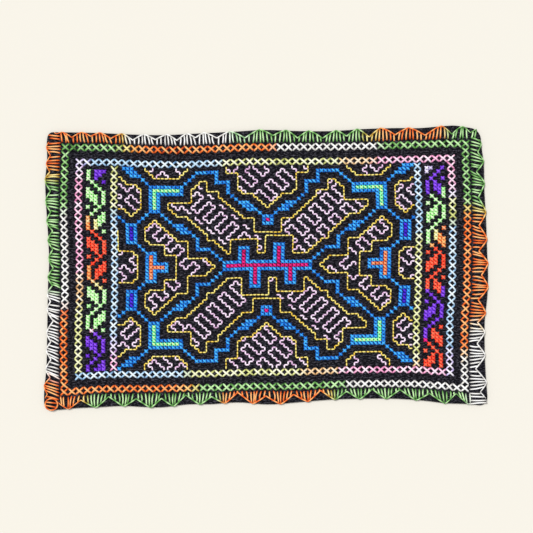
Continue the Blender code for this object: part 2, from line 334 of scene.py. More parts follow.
    def outline(self, step: float = 1.0, turns: int = 9) -> tuple[np.ndarray, list[int]]:
        """The cloth's edge, anticlockwise from the near left corner.

        Args:
            step: Space between points along a side.
            turns: Points that turn a corner.

        Returns:
            The closed edge's points, and the place in it of each corner's middle, far left last.
        """
        spots = self.corners()
        runs = []
        for i, side in enumerate((Side.NEAR, Side.RIGHT, Side.FAR, Side.LEFT)):
            j = (i + 1) % 4
            way = 1 if side in (Side.NEAR, Side.RIGHT) else -1
            first = spots[i][side.axis] + way * self.corner_radii[i]
            last = spots[j][side.axis] - way * self.corner_radii[j]
            place = np.linspace(first, last, int(abs(last - first) / step) + 1)
            runs.append(side.plan(place, self.edge(side, place)))
        t = np.linspace(0, np.pi / 2, turns)[1:-1, None]
        pieces, middles, count = [], [], 0
        for i, run in enumerate(runs):
            after, corner = runs[(i + 1) % 4], spots[(i + 1) % 4]
            turn = corner + (run[-1] - corner) * (1 - np.sin(t)) + (after[0] - corner) * (1 - np.cos(t))
            pieces += [run, turn]
            middles.append(count + len(run) + len(turn) // 2)
            count += len(run) + len(turn)
        return np.concatenate(pieces), middles

    @property
    def middle(self) -> np.ndarray:
        """The middle of the solid's box, which the frame's origin lies under."""
        edge, _ = self.outline(self.solid_step, self.solid_turns)
        return (edge.min(axis=0) + edge.max(axis=0)) / 2


def add_node(tree: bpy.types.NodeTree, kind: str, settings: dict | None = None,
             values: dict | None = None, links: dict | None = None) -> bpy.types.Node:
    """Add a node with its settings and links.

    Args:
        tree: Node tree to add to.
        kind: Blender's name for the kind of node.
        settings: Attributes of the node.
        values: Values of input sockets, by name or place.
        links: Output sockets to link from, by the input's name or place.

    Returns:
        The new node.
    """
    node = tree.nodes.new(kind)
    for name, value in (settings or {}).items():
        setattr(node, name, value)
    for name, value in (values or {}).items():
        node.inputs[name].default_value = value
    for name, socket in (links or {}).items():
        tree.links.new(socket, node.inputs[name])
    return node


def new_material(name: str) -> tuple[bpy.types.Material, bpy.types.NodeTree, bpy.types.Node]:
    """Make an empty material with its principled shader.

    Args:
        name: What the real material is.

    Returns:
        The material, its node tree and its shader.
    """
    material = bpy.data.materials.new(name)
    material.use_nodes = True
    tree = material.node_tree
    return material, tree, tree.nodes["Principled BSDF"]


@dataclass(frozen=True)
class ThreadFinish:
    """Twisted cotton thread: dyed, with plies that catch the light on their crowns, as a painted highlight
    there and painted shade in the grooves.
    """

    name: str
    ply_pitch: float        # length of one turn of the twist, mm
    plies: int = 2
    groove_depth: float = 0.12
    roughness: float = 0.62
    specular: float = 0.16       # loose fibres give back less than a smooth surface
    sheen: float = 0.06

    def material(self) -> bpy.types.Material:
        """Make the thread's material from its own UV map, whose v is millimetres along the thread.

        Returns:
            A material that reads each stitch's dye, with its painted highlight and shade, from the attribute
            thread_dye.
        """
        material, tree, shader = new_material(self.name)
        node = partial(add_node, tree)
        place = node("ShaderNodeUVMap", {"uv_map": "thread"})
        split = node("ShaderNodeSeparateXYZ", links={0: place.outputs[0]})
        along = node("ShaderNodeMath", {"operation": "MULTIPLY"}, {1: np.pi / self.ply_pitch},
                     {0: split.outputs["Y"]})
        wound = node("ShaderNodeMath", {"operation": "MULTIPLY_ADD"}, {1: np.pi * self.plies},
                     {0: split.outputs["X"], 2: along.outputs[0]})
        wave = node("ShaderNodeMath", {"operation": "SINE"}, links={0: wound.outputs[0]})
        crown = node("ShaderNodeMath", {"operation": "ABSOLUTE"}, links={0: wave.outputs[0]})
        stretch = node("ShaderNodeMapping", values={"Scale": (9.0, 0.8, 1.0)},
                       links={"Vector": place.outputs[0]})
        fibres = node("ShaderNodeTexNoise", values={"Scale": 3.0, "Detail": 2.0},
                      links={"Vector": stretch.outputs[0]})
        # Painted highlight on the plies' crowns and painted shade in the grooves between them, times the
        # fibres' flecks, scales the thread's colour.
        light = node("ShaderNodeMapRange", values={"To Min": 0.74, "To Max": 1.08},
                     links={"Value": crown.outputs[0]})
        fleck = node("ShaderNodeMapRange", values={"From Min": 0.3, "From Max": 0.7, "To Min": 0.9,
                                                   "To Max": 1.08},
                     links={"Value": fibres.outputs[0]})
        ply_shading_and_fleck = node("ShaderNodeMath", {"operation": "MULTIPLY"},
                      links={0: light.outputs[0], 1: fleck.outputs[0]})
        dye = node("ShaderNodeAttribute", {"attribute_name": "thread_dye"})
        colour = node("ShaderNodeVectorMath", {"operation": "SCALE"},
                      links={0: dye.outputs["Color"], "Scale": ply_shading_and_fleck.outputs[0]})
        tree.links.new(colour.outputs[0], shader.inputs["Base Color"])
        bump = node("ShaderNodeBump", values={"Distance": self.groove_depth * MM, "Strength": 0.8},
                    links={"Height": crown.outputs[0]})
        tree.links.new(bump.outputs[0], shader.inputs["Normal"])
        shader.inputs["Roughness"].default_value = self.roughness
        shader.inputs["Specular IOR Level"].default_value = self.specular
        shader.inputs["Sheen Weight"].default_value = self.sheen
        shader.inputs["Sheen Roughness"].default_value = 0.4
        return material


@dataclass(frozen=True)
class CottonFinish:
    """Black even-weave cotton: dull, with a plain weave whose crowns carry a painted highlight, and dusty
    grey fibres on its crowns.
    """

    name: str = "black_even_weave_cotton"
    threads_per_cell: int = 2     # real threads are finer: two for each counted cell still show
    # The black cotton's own colour, then a lighter one painted on the weave's crowns as a highlight
    ground: str = "#06060a"
    crown: str = "#121117"
    fleck: str = "#6c6a76"
    weave_depth: float = 0.22

    def material(self, layout: Layout) -> bpy.types.Material:
        """Make the cloth's material from the UV map layout, in millimetres of the straight layout.

        Args:
            layout: Gives the size of a counted cell.

        Returns:
            The material of the ground cloth.
        """
        material, tree, shader = new_material(self.name)
        node = partial(add_node, tree)
        place = node("ShaderNodeUVMap", {"uv_map": "layout"})
        split = node("ShaderNodeSeparateXYZ", links={0: place.outputs[0]})
        waves = []
        for axis, cell in (("X", layout.cell_w), ("Y", layout.cell_h)):
            turn = node("ShaderNodeMath", {"operation": "MULTIPLY"},
                        {1: np.pi * self.threads_per_cell / cell}, {0: split.outputs[axis]})
            waves.append(node("ShaderNodeMath", {"operation": "SINE"}, links={0: turn.outputs[0]}))
        weave = node("ShaderNodeMath", {"operation": "MULTIPLY"},
                     links={0: waves[0].outputs[0], 1: waves[1].outputs[0]})
        over = node("ShaderNodeMapRange", values={"From Min": -1.0},
                    links={"Value": weave.outputs[0]})
        stretch = node("ShaderNodeMapping", values={"Scale": (0.42, 1.0, 1.0)},
                       links={"Vector": place.outputs[0]})
        dust = node("ShaderNodeTexNoise", values={"Scale": 0.95, "Detail": 3.0, "Roughness": 0.7},
                    links={"Vector": stretch.outputs[0]})
        dusty = node("ShaderNodeMapRange", values={"From Min": 0.5, "From Max": 0.86},
                     links={"Value": dust.outputs[0]})
        # Painted highlight on the weave's crowns, over the black of its hollows
        body = node("ShaderNodeMix", {"data_type": "RGBA"},
                    {6: (*linear(self.ground), 1), 7: (*linear(self.crown), 1)}, {0: over.outputs[0]})
        colour = node("ShaderNodeMix", {"data_type": "RGBA"}, {7: (*linear(self.fleck), 1)},
                      {0: dusty.outputs[0], 6: body.outputs[2]})
        tree.links.new(colour.outputs[2], shader.inputs["Base Color"])
        height = node("ShaderNodeMath", {"operation": "MULTIPLY_ADD"}, {1: 0.5},
                      {0: dust.outputs[0], 2: over.outputs[0]})
        bump = node("ShaderNodeBump", values={"Distance": self.weave_depth * MM, "Strength": 0.7},
                    links={"Height": height.outputs[0]})
        tree.links.new(bump.outputs[0], shader.inputs["Normal"])
        shader.inputs["Roughness"].default_value = 0.92
        shader.inputs["Specular IOR Level"].default_value = 0.05
        return material


@dataclass
class Threadwork:
    """Threads of one piece: tubes of an oval section along centre lines."""

    name: str
    slot: str
    finish: ThreadFinish
    sides: int = 6
    flat: float = 0.8      # height of a thread's section over its width
    points: list[np.ndarray] = field(default_factory=list)
    quads: list[np.ndarray] = field(default_factory=list)
    places: list[np.ndarray] = field(default_factory=list)
    # colours of the dye with painted highlight and painted shade, one for each point
    dyes: list[np.ndarray] = field(default_factory=list)
    count: int = 0

    def add(self, lines: np.ndarray, half_width: float, dyes: np.ndarray, closed: bool = False,
            taper: float = 0.35) -> None:
        """Add threads along centre lines.

        A ring's point is the line's point, plus the sideways normal times the half width times the
        cosine of its angle, plus the upward normal times the half height times the sine. Both are
        smaller near an open line's ends, by the taper times the sixth power of the place from -1 to 1.

        Args:
            lines: Centre lines in mm: thread, place along it, and x, y, z.
            half_width: Half the thread's width in mm.
            dyes: Linear colours, one for each place along each thread: the dye with its painted highlight and
                painted shade.
            closed: Whether each line runs on into its own start.
            taper: How much thinner a thread's ends are, drawn into the cloth.
        """
        threads, rings, _ = lines.shape
        if closed:
            run = np.roll(lines, -1, axis=1) - np.roll(lines, 1, axis=1)
            thin = np.ones(rings)
        else:
            run = np.gradient(lines, axis=1)
            thin = 1 - taper * np.abs(np.linspace(-1, 1, rings)) ** 6
        run /= np.linalg.norm(run, axis=-1, keepdims=True)
        aside = np.cross([0.0, 0.0, 1.0], run)
        aside /= np.linalg.norm(aside, axis=-1, keepdims=True)
        upward = np.cross(run, aside)
        turn = 2 * np.pi * np.arange(self.sides) / self.sides
        width = (half_width * thin)[:, None, None]
        ring = (lines[:, :, None] + aside[:, :, None] * width * np.cos(turn)[:, None]
                + upward[:, :, None] * width * self.flat * np.sin(turn)[:, None])
        self.points.append(ring.reshape(-1, 3))
        shown = np.broadcast_to(dyes[:, :, None], (threads, rings, self.sides, 3))
        self.dyes.append(shown.reshape(-1, 3))
        self._add_faces(lines, closed)
        self.count += threads

    def _add_faces(self, lines: np.ndarray, closed: bool) -> None:
        """Add the faces of tubes and of their ends, with their places on the thread's UV map."""
        threads, rings, _ = lines.shape
        sides = self.sides
        steps = np.linalg.norm(np.diff(lines, axis=1, append=lines[:, :1]), axis=-1)
        length = np.concatenate([np.zeros((threads, 1)), np.cumsum(steps, axis=1)], axis=1)
        spans = rings if closed else rings - 1
        k, j = (grid.ravel() for grid in np.mgrid[0:spans, 0:sides])
        ring = np.stack([k, k, k + 1, k + 1], axis=-1)
        turn = np.stack([j, j + 1, j + 1, j], axis=-1)
        if not closed:
            fan = np.arange(0, sides - 2, 2)
            cap = np.stack([np.zeros_like(fan), fan + 1, fan + 2, fan + 3], axis=-1)
            ring = np.concatenate([ring, np.zeros_like(cap), np.full_like(cap, rings - 1)])
            turn = np.concatenate([turn, cap[:, ::-1], cap])
        first = sum(len(points) for points in self.points[:-1])
        start = first + np.arange(threads)[:, None, None] * rings * sides
        self.quads.append((start + (ring % rings) * sides + turn % sides).reshape(-1, 4))
        around = np.broadcast_to(turn / sides, (threads, *turn.shape))
        self.places.append(np.stack([around, length[:, ring]], axis=-1).reshape(-1, 2))

    def build(self) -> bpy.types.Object:
        """Make the piece's object, riding on the cloth's body."""
        piece = new_piece(self.name, np.concatenate(self.points), np.concatenate(self.quads),
                          "thread", np.concatenate(self.places), self.finish.material())
        colours = np.concatenate(self.dyes)
        colours = np.column_stack([colours, np.ones(len(colours))])
        dye = piece.data.attributes.new("thread_dye", "FLOAT_COLOR", "POINT")
        dye.data.foreach_set("color", colours.ravel())
        log.info("%s: %d threads, %d faces", self.name, self.count, len(piece.data.polygons))
        return piece


def new_piece(name: str, points: np.ndarray, faces: np.ndarray, uv_name: str, uv: np.ndarray,
              material: bpy.types.Material) -> bpy.types.Object:
    """Make an object from arrays, smooth shaded and riding on the cloth's body.

    Args:
        name: The piece's name.
        points: Points in millimetres.
        faces: Point numbers of each four-sided face.
        uv_name: Name of the UV map.
        uv: UV place of each corner, in the faces' order.
        material: The piece's material.

    Returns:
        The new object.
    """
    mesh = bpy.data.meshes.new(name)
    mesh.from_pydata((points * MM).tolist(), [], faces.tolist())
    mesh.uv_layers.new(name=uv_name).data.foreach_set("uv", uv.ravel())
    mesh.shade_smooth()
    mesh.materials.append(material)
    piece = bpy.data.objects.new(name, mesh)
    bpy.context.scene.collection.objects.link(piece)
    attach(piece, "root")
    return piece


@dataclass
class GroundCloth:
    """The black sheet: two faces on one grid, joined by the rounded fold of the hem."""

    layout: Layout
    finish: CottonFinish
    columns: int = 231           # points of the grid along the long sides
    rows: int = 148              # and along the short ones
    back_step: float = 0.3      # how much lower the turned hem lies than the back of the ground
    # Rings down the fold, between the two faces: how far in from the edge, and how high
    fold: Chart = ((0.35, 2.05), (0.08, 1.7), (0.0, 1.2), (0.08, 0.6), (0.35, 0.15))

    def rim(self) -> np.ndarray:
        """The edge as one point for each rim point of the grid, anticlockwise from the near left."""
        edge, middles = self.layout.outline()
        edge = np.roll(edge, -middles[3], axis=0)
        stops = [0] + [(middle - middles[3]) % len(edge) for middle in middles[:3]] + [len(edge)]
        edge = np.vstack([edge, edge[:1]])
        loop = []
        for first, last, count in zip(stops[:-1], stops[1:], (self.columns, self.rows) * 2):
            side = edge[first:last + 1]
            length = np.concatenate([[0], np.cumsum(np.linalg.norm(np.diff(side, axis=0), axis=1))])
            place = np.linspace(0, length[-1], count)[:-1]
            loop.append(np.column_stack([np.interp(place, length, side[:, i]) for i in (0, 1)]))
        return np.concatenate(loop)

    def sheet(self, rim: np.ndarray) -> np.ndarray:
        """Fill a rim with a grid.

        A point is the blend of the near and far sides, plus the blend of the left and right sides, less
        the blend of the four corners.

        Args:
            rim: Closed rim, anticlockwise from the near left corner.

        Returns:
            Grid of plan points: row, column, and x and y.
        """
        c, r = self.columns - 1, self.rows - 1
        near, right = rim[:c + 1], rim[c:c + r + 1]
        far = rim[c + r:2 * c + r + 1][::-1]
        left = np.vstack([rim[2 * c + r:], rim[:1]])[::-1]
        u = np.linspace(0, 1, self.columns)[None, :, None]
        v = np.linspace(0, 1, self.rows)[:, None, None]
        corners = ((1 - u) * (1 - v) * near[0] + u * (1 - v) * near[-1]
                   + (1 - u) * v * far[0] + u * v * far[-1])
        return (1 - v) * near[None] + v * far[None] + (1 - u) * left[:, None] + u * right[:, None] - corners

    def inset(self, rim: np.ndarray, far_in: float) -> np.ndarray:
        """The rim, moved in along its own normals."""
        run = np.roll(rim, -1, axis=0) - np.roll(rim, 1, axis=0)
        run /= np.linalg.norm(run, axis=1, keepdims=True)
        return rim + far_in * np.column_stack([-run[:, 1], run[:, 0]])

    def build(self) -> bpy.types.Object:
        """Make the sheet's object."""
        layout, rim = self.layout, self.rim()
        plan = self.sheet(self.inset(rim, layout.fold_round))
        straight = plan - layout.drift(plan)
        upper = layout.top(straight)
        under = self.back_step * (1 - layout.hem(straight))
        rows, columns = np.mgrid[0:self.rows, 0:self.columns]
        number = rows * self.columns + columns
        ring = np.concatenate([number[0, :-1], number[:-1, -1], number[-1, :0:-1], number[:0:-1, 0]])
        upper.ravel()[ring] = layout.hem_top
        grids = [np.dstack([plan, height]).reshape(-1, 3) for height in (upper, under)]
        folds = [np.column_stack([self.inset(rim, far_in), np.full(len(rim), height)])
                 for far_in, height in self.fold]
        points = np.concatenate([grids[0], *folds, grids[1]])
        face = np.stack([number[:-1, :-1], number[:-1, 1:], number[1:, 1:], number[1:, :-1]], axis=-1)
        face = face.reshape(-1, 4)
        under_first = len(points) - len(grids[1])
        loops = [ring] + [len(grids[0]) + i * len(ring) + np.arange(len(ring)) for i in range(len(folds))]
        loops.append(under_first + ring)
        walls = [np.column_stack([high, low, np.roll(low, -1), np.roll(high, -1)])
                 for high, low in zip(loops[:-1], loops[1:])]
        faces = np.concatenate([face, *walls, under_first + face[:, ::-1]])
        settled = points[:, :2] - layout.drift(points[:, :2])
        points = points - (*layout.middle, 0)
        piece = new_piece("ground_cotton_sheet", points, faces, "layout", settled[faces].reshape(-1, 2),
                          self.finish.material(layout))
        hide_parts("ground_cloth")
        log.info("ground_cotton_sheet: %d faces", len(piece.data.polygons))
        return piece


@dataclass
class Needle:
    """Lays single stitches on the cloth. Its heights are shares of half a thread's width."""

    layout: Layout
    rng: np.random.Generator
    rise: float = 1.35         # from a stitch's ends to its level middle
    sunk: float = 0.75         # how deep its ends lie in the cloth
    lift: float = 1.2          # hump of a cross's upper leg over its lower one
    hump: float = 0.15         # half length of that hump, as a share of the stitch
    even_tone: float = 0.6     # where on a stitch's arc the painted highlight of its crown gives way to the painted shade of its ends
    spread: float = 0.18       # how much the tone differs from stitch to stitch
    line_tone: float = 0.64    # middle tone of the line stitches
    line_rings: int = 5        # points along a line stitch

    def tones(self, count: int, middle: float, rings: int = 7, crown: float = 0.75) -> np.ndarray:
        """Random tones from 0 to 1 along some stitches, with painted highlight on their crowns and painted
        shade at their ends.

        Args:
            count: Number of stitches.
            middle: Their middle tone.
            rings: Points along each stitch.
            crown: How much lighter the painted highlight on a stitch's middle is than the painted shade at
                its ends.

        Returns:
            One tone for each point of each stitch.
        """
        # The crown's painted highlight and the ends' painted shade, added to each stitch's random tone
        along = np.sin(np.linspace(0, np.pi, rings)) - self.even_tone
        return np.clip(self.rng.normal(middle, self.spread, (count, 1)) + crown * along, 0, 1)

    def stitch(self, start: np.ndarray, end: np.ndarray, half_width: float, rings: int = 7,
               over: float = 0.0, shake: float = 0.08) -> np.ndarray:
        """Centre lines of stitches that come up at one place and go down at another.

        A line rises steeply out of the cloth, runs level on it, and goes down as steeply: its height is
        one less the fourth power of its place from -1 to 1, times its level. Where it crosses another
        thread, a bell curve lifts it.

        Args:
            start: Layout points where the stitches come up.
            end: Layout points where they go down.
            half_width: Half the thread's width.
            rings: Points along each line.
            over: Height of the hump over a crossed thread.
            shake: How far the ends stray from their places.

        Returns:
            Centre lines on the cloth.
        """
        start = start + self.rng.normal(0, shake, start.shape)
        end = end + self.rng.normal(0, shake, end.shape)
        t = np.linspace(0, 1, rings)
        plan = start[:, None] + (end - start)[:, None] * t[None, :, None]
        level = half_width * (self.rise * (1 - np.abs(2 * t - 1) ** 4) - self.sunk)
        level = level + over * np.exp(-((t - 0.5) / self.hump) ** 2)
        return self.layout.lay(plan, level[None])

    def cross(self, work: Threadwork, middles: np.ndarray, half: np.ndarray, half_width: float,
              dyes: tuple[np.ndarray, np.ndarray], rings: int = 7, shake: float = 0.08) -> None:
        """Add cross stitches: a lower leg to the far right and an upper leg to the far left.

        Args:
            work: Threadwork that they go to.
            middles: Layout points of their middles.
            half: Half their width and height, one for all.
            half_width: Half the thread's width.
            dyes: Linear colours along the lower and along the upper legs, with painted highlight and painted
                shade.
            rings: Points along each leg.
            shake: How far the ends stray from their places.
        """
        half = np.asarray(half, dtype=float)
        lower = self.stitch(middles - half, middles + half, half_width, rings, shake=shake)
        work.add(lower, half_width, dyes[0])
        turned = half * (-1, 1)
        upper = self.stitch(middles - turned, middles + turned, half_width, rings,
                            self.lift * half_width, shake)
        work.add(upper, half_width, dyes[1])


class Copies(Enum):
    """How a part of the field is repeated about its middle."""

    QUARTERS = ((1, 1), (-1, 1), (1, -1), (-1, -1))
    TURNED = ((1, 1), (-1, -1))
    FAR_AND_NEAR = ((1, 1), (1, -1))
    LEFT_AND_RIGHT = ((1, 1), (-1, 1))


@dataclass
class Stitching:
    """A sub-assembly of threadwork: what lays its stitches, and its thread."""

    needle: Needle
    finish: ThreadFinish


@dataclass
class FieldCrosses(Stitching):
    """Cross stitch of the field: blue walls and links, and the figures' coloured cores.

    Each chart row is a run of cells of the far left quarter, from its first cell to its last: columns
    count to the left and rows to the far side.
    """

    half_width: float = 0.7
    reach: float = 0.49                                # half a cross's size over a cell's
    leg_shade_tones: tuple[float, float] = (0.36, 0.66)      # middle tones of the lower and the upper legs: the lower legs get painted shade
    walls: Chart = (
        (35, 28, 37, 28), (34, 27, 36, 27), (33, 26, 35, 26), (32, 25, 31, 24),
        (22, 23, 30, 23), (22, 21, 28, 21), (30, 16, 30, 22), (28, 16, 28, 20), (22, 22, 22, 22),
        (29, 16, 29, 16), (31, 15, 33, 13),
        (34, 12, 36, 12), (34, 7, 36, 7), (34, 8, 34, 11), (36, 8, 36, 11), (37, 13, 38, 14),
        (33, 6, 32, 5), (31, 0, 31, 4), (29, 1, 29, 4), (30, 4, 30, 4), (26, 1, 28, 1), (26, 0, 26, 0),
        (27, 15, 25, 13), (22, 12, 24, 12), (21, 11, 23, 11), (20, 10, 22, 10), (19, 9, 18, 8),
        (18, 7, 18, 5), (17, 5, 15, 5), (14, 4, 12, 2),
        (21, 24, 19, 26), (13, 27, 18, 27), (13, 26, 13, 24), (12, 24, 10, 24), (10, 23, 10, 21),
        (9, 20, 8, 19), (5, 18, 7, 18), (4, 17, 6, 17), (3, 16, 5, 16), (2, 15, 2, 15),
        (0, 14, 1, 14), (1, 12, 1, 13), (0, 12, 0, 12), (0, 1, 11, 1), (11, 0, 11, 0),
    )
    near_walls: Chart = ((38, -29, 38, -29),)
    arm_walls: Chart = (
        (5, 2, 5, 5), (6, 5, 6, 5), (7, 2, 7, 5), (-2, 2, -2, 6), (-3, 6, -3, 6), (-4, 2, -4, 6),
    )
    arm_cores: Chart = ((6, 1, 6, 4), (-3, 1, -3, 5))
    bar_core: Chart = ((0, 0, 10, 0),)
    cores: tuple[tuple[Dye, Chart], ...] = (
        (Dye.MINT, ((23, 22, 29, 22), (29, 17, 29, 21))),
        (Dye.VIOLET, ((35, 8, 35, 11),)),
        (Dye.CORAL, ((30, 0, 30, 3), (27, 0, 29, 0))),
        (Dye.CRIMSON, ((0, 13, 0, 13),)),
    )

    def cells(self) -> dict[tuple[int, int], Dye]:
        """Every stitched cell and its dye. A later chart covers an earlier one."""
        charted: dict[tuple[int, int], Dye] = {}
        layers = [(Dye.BLUE, self.walls, Copies.QUARTERS), (Dye.BLUE, self.arm_walls, Copies.TURNED)]
        layers += [(dye, chart, Copies.QUARTERS) for dye, chart in self.cores]
        layers += [(Dye.CRIMSON, self.bar_core, Copies.QUARTERS),
                   (Dye.CRIMSON, self.arm_cores, Copies.TURNED),
                   (Dye.BLUE, self.near_walls, Copies.LEFT_AND_RIGHT)]
        for dye, chart, copies in layers:
            for first_p, first_q, last_p, last_q in chart:
                steps = max(abs(last_p - first_p), abs(last_q - first_q))
                run_p = np.linspace(first_p, last_p, steps + 1)
                run_q = np.linspace(first_q, last_q, steps + 1)
                for way_p, way_q in copies.value:
                    charted.update({(-round(p) * way_p, round(q) * way_q): dye for p, q in zip(run_p, run_q)})
        last = self.needle.layout.right_columns
        return {cell: dye for cell, dye in charted.items() if cell[0] < last}

    def build(self) -> bpy.types.Object:
        """Make the field's cross stitch."""
        work = Threadwork("field_cross_stitch", "bright_thread", self.finish)
        charted = self.cells()
        layout = self.needle.layout
        half = np.array([layout.cell_w, layout.cell_h]) * self.reach
        for dye in dict.fromkeys(charted.values()):
            spots = np.array([cell for cell, its_dye in charted.items() if its_dye is dye])
            dyes = tuple(dye.tones(self.needle.tones(len(spots), middle)) for middle in self.leg_shade_tones)
            self.needle.cross(work, layout.on_grid(spots), half, self.half_width, dyes)
        return work.build()


@dataclass(frozen=True)
class Leaf:
    """A slanted leaf of three columns of cells, and the dot beside it, in one bay of the vine."""

    bay: int
    dye: Dye
    inner: Dye | None = None    # dye of its column nearest the vine, where that is another
    outer: Dye | None = None    # dye of its outermost column
    dot: Dye | None = None      # dye of its dot

    def cells(self) -> list[tuple[int, int, Dye]]:
        """Column, row and dye of its cells in an even bay, from the bay's first row."""
        dyes = (self.outer or self.dye, self.dye, self.inner or self.dye)
        found = [(column, 5 + column + row, dyes[column]) for column in range(3) for row in range(3)]
        return found + [(0, 10, self.dot or self.dye)]


@dataclass
class LeafColumn:
    """A column of cross stitch: one winding vine with a slanted leaf and a dot in each bay."""

    middle_x: float
    upside_down: bool
    vine: tuple[tuple[int, Dye], ...]      # first row, from the far end, and the vine's dye from there
    leaves: tuple[Leaf, ...]
    rows: int = 57
    last_column: int = 4
    bay_rows: int = 7
    turned_at: int = 48      # the upside-down column's row for the upright column's first row

    def cells(self) -> list[tuple[int, int, Dye]]:
        """Column, row and dye of every cell, with row 0 at the far end."""
        found, last = [], self.last_column
        vine = [(last, row, None) for row in (6, 7, 8, 9)]
        vine += [(last - step, 9 + step, None) for step in (1, 2, 3)]
        for leaf in sorted(self.leaves, key=lambda leaf: leaf.bay):
            for column, row, dye in leaf.cells() + vine:
                row += self.bay_rows * leaf.bay
                column = last - column if leaf.bay % 2 else column
                row = self.turned_at - row if self.upside_down else row
                if 0 <= row < self.rows:
                    found.append((column, row, dye or self.vine_dye(row)))
        return found

    def vine_dye(self, row: int) -> Dye:
        """The vine's dye at a row."""
        return [dye for first, dye in self.vine if first <= row][-1]


@dataclass
class LeafColumns(Stitching):
    """Both leaf columns, left and right of the field."""

    half_width: float = 0.77
    reach: float = 0.5                                 # half a cross's size over a cell's
    leg_shade_tones: tuple[float, float] = (0.5, 0.8)        # middle tones of the lower and the upper legs: the lower legs get painted shade
    top_row: float = 1.5     # from the field's far side to the middle of the first row, in cells
    columns: tuple[LeafColumn, ...] = (
        LeafColumn(-136.7, False,
                   ((0, Dye.LEAF_GREEN), (13, Dye.AMBER), (15, Dye.ORANGE), (17, Dye.LEAF_RED),
                    (27, Dye.ORANGE), (31, Dye.AMBER), (32, Dye.LEMON), (34, Dye.LEAF_GREEN),
                    (45, Dye.PINK), (46, Dye.PURPLE)),
                   (Leaf(-2, Dye.PURPLE), Leaf(-1, Dye.PURPLE), Leaf(0, Dye.LEAF_GREEN),
                    Leaf(1, Dye.LEAF_GREEN, inner=Dye.LEMON), Leaf(2, Dye.LEAF_RED), Leaf(3, Dye.LEAF_RED),
                    Leaf(4, Dye.LEAF_GREEN), Leaf(5, Dye.LEAF_GREEN), Leaf(6, Dye.PURPLE),
                    Leaf(7, Dye.PURPLE), Leaf(8, Dye.PURPLE))),
        LeafColumn(134.6, True,
                   ((0, Dye.PURPLE), (8, Dye.LEAF_GREEN), (22, Dye.ORANGE), (23, Dye.LEAF_RED),
                    (35, Dye.PURPLE), (49, Dye.CRIMSON), (50, Dye.LEAF_RED)),
                   (Leaf(7, Dye.PURPLE), Leaf(6, Dye.LILAC), Leaf(5, Dye.PURPLE, outer=Dye.LEAF_GREEN),
                    Leaf(4, Dye.LEAF_GREEN), Leaf(3, Dye.ORANGE, inner=Dye.LEMON, dot=Dye.CORAL),
                    Leaf(2, Dye.LEAF_RED), Leaf(1, Dye.LEAF_RED, outer=Dye.PURPLE), Leaf(0, Dye.PURPLE),
                    Leaf(-1, Dye.LEAF_RED), Leaf(-2, Dye.LEAF_RED), Leaf(-3, Dye.LEAF_RED))),
    )

    def build(self) -> bpy.types.Object:
        """Make both columns."""
        work = Threadwork("leaf_column_cross_stitch", "bright_thread", self.finish)
        layout = self.needle.layout
        half = np.array([layout.cell_w, layout.cell_h]) * self.reach
        far = layout.middle_row_y + layout.rows_far * layout.cell_h
        for column in self.columns:
            found = column.cells()
            spots = np.array([(column.middle_x + (place - column.last_column / 2) * layout.cell_w,
                               far - (row + self.top_row) * layout.cell_h) for place, row, _ in found])
            dyes = []
            for middle in self.leg_shade_tones:
                tones = self.needle.tones(len(found), middle)
                dyes.append(np.array([dye.tones(tone) for (_, _, dye), tone in zip(found, tones)]))
            self.needle.cross(work, spots, half, self.half_width, tuple(dyes))
        return work.build()


def walk(start: tuple[float, float], steps: str) -> np.ndarray:
    """Corners of the grid that a path passes, one cell apart.

    Args:
        start: First corner.
        steps: Steps R, L, U and D, each with the number of cells where it isn't one.

    Returns:
        Every corner on the path, its first and last among them.
    """
    ways = {"R": (1, 0), "L": (-1, 0), "U": (0, 1), "D": (0, -1)}
    moves = [ways[step[0]] for step in steps.split() for _ in range(int(step[1:] or 1))]
    return np.array(start) + np.vstack([(0, 0), np.cumsum(moves, axis=0)])


@dataclass(frozen=True)
class GoldPath:
    """A path of the gold line stitch, charted in the far left quarter, and how it is repeated."""

    start: tuple[float, float]      # its first corner of the grid
    steps: str
    copies: Copies = Copies.QUARTERS

    @property
    def corners(self) -> np.ndarray:
        """Every corner of the grid on the path."""
        return walk(self.start, self.steps)


GOLD_PATHS: dict[str, GoldPath] = {
    "far_panel": GoldPath((-31.5, 28.5), "D R D R D R7 U R U R U"),
    "side_panel": GoldPath((-38.5, 25.5), "R D R D R3 D R D6 L D L D L U L U L2"),
    "wing_far": GoldPath((-25.5, 18.5), "R6 U4 R U R U R2 D3 R3 D2 R D R D R D R D R D R D R3 D4"),
    "wing_near": GoldPath((-25.5, 18.5), "D2 R D R D R3 D R D R D R D R D R D2 R2 D R D R D R D"),
    "middle_panel": GoldPath((-10.5, 28.5), "D2 R3 D5 R D R3 D R D R D R D"),
    "arrow_outer": GoldPath((-31.5, 7.5), "U4 R U R U R D R D R D R D R D R D R3 D5 R5 D R D R"),
    "arrow_inner": GoldPath((-31.5, 7.5), "R D R4 D3 R3"),
    "wing_middle": GoldPath((-10.5, 3.5), "R U4 R7 D4 R2 U5 R7 D5 R4", Copies.TURNED),
    "wing_bridge": GoldPath((-3.5, 9.5), "R7", Copies.FAR_AND_NEAR),
    "middle_tip": GoldPath((-0.5, 16.5), "R", Copies.FAR_AND_NEAR),
    "arrow_tip": GoldPath((-13.5, 0.5), "D", Copies.LEFT_AND_RIGHT),
    "arrow_back": GoldPath((-23.5, 3.5), "D7", Copies.LEFT_AND_RIGHT),
    "end_panel": GoldPath((-38.5, 10.5), "D6 R4 D R D7 L D L4", Copies.LEFT_AND_RIGHT),
}


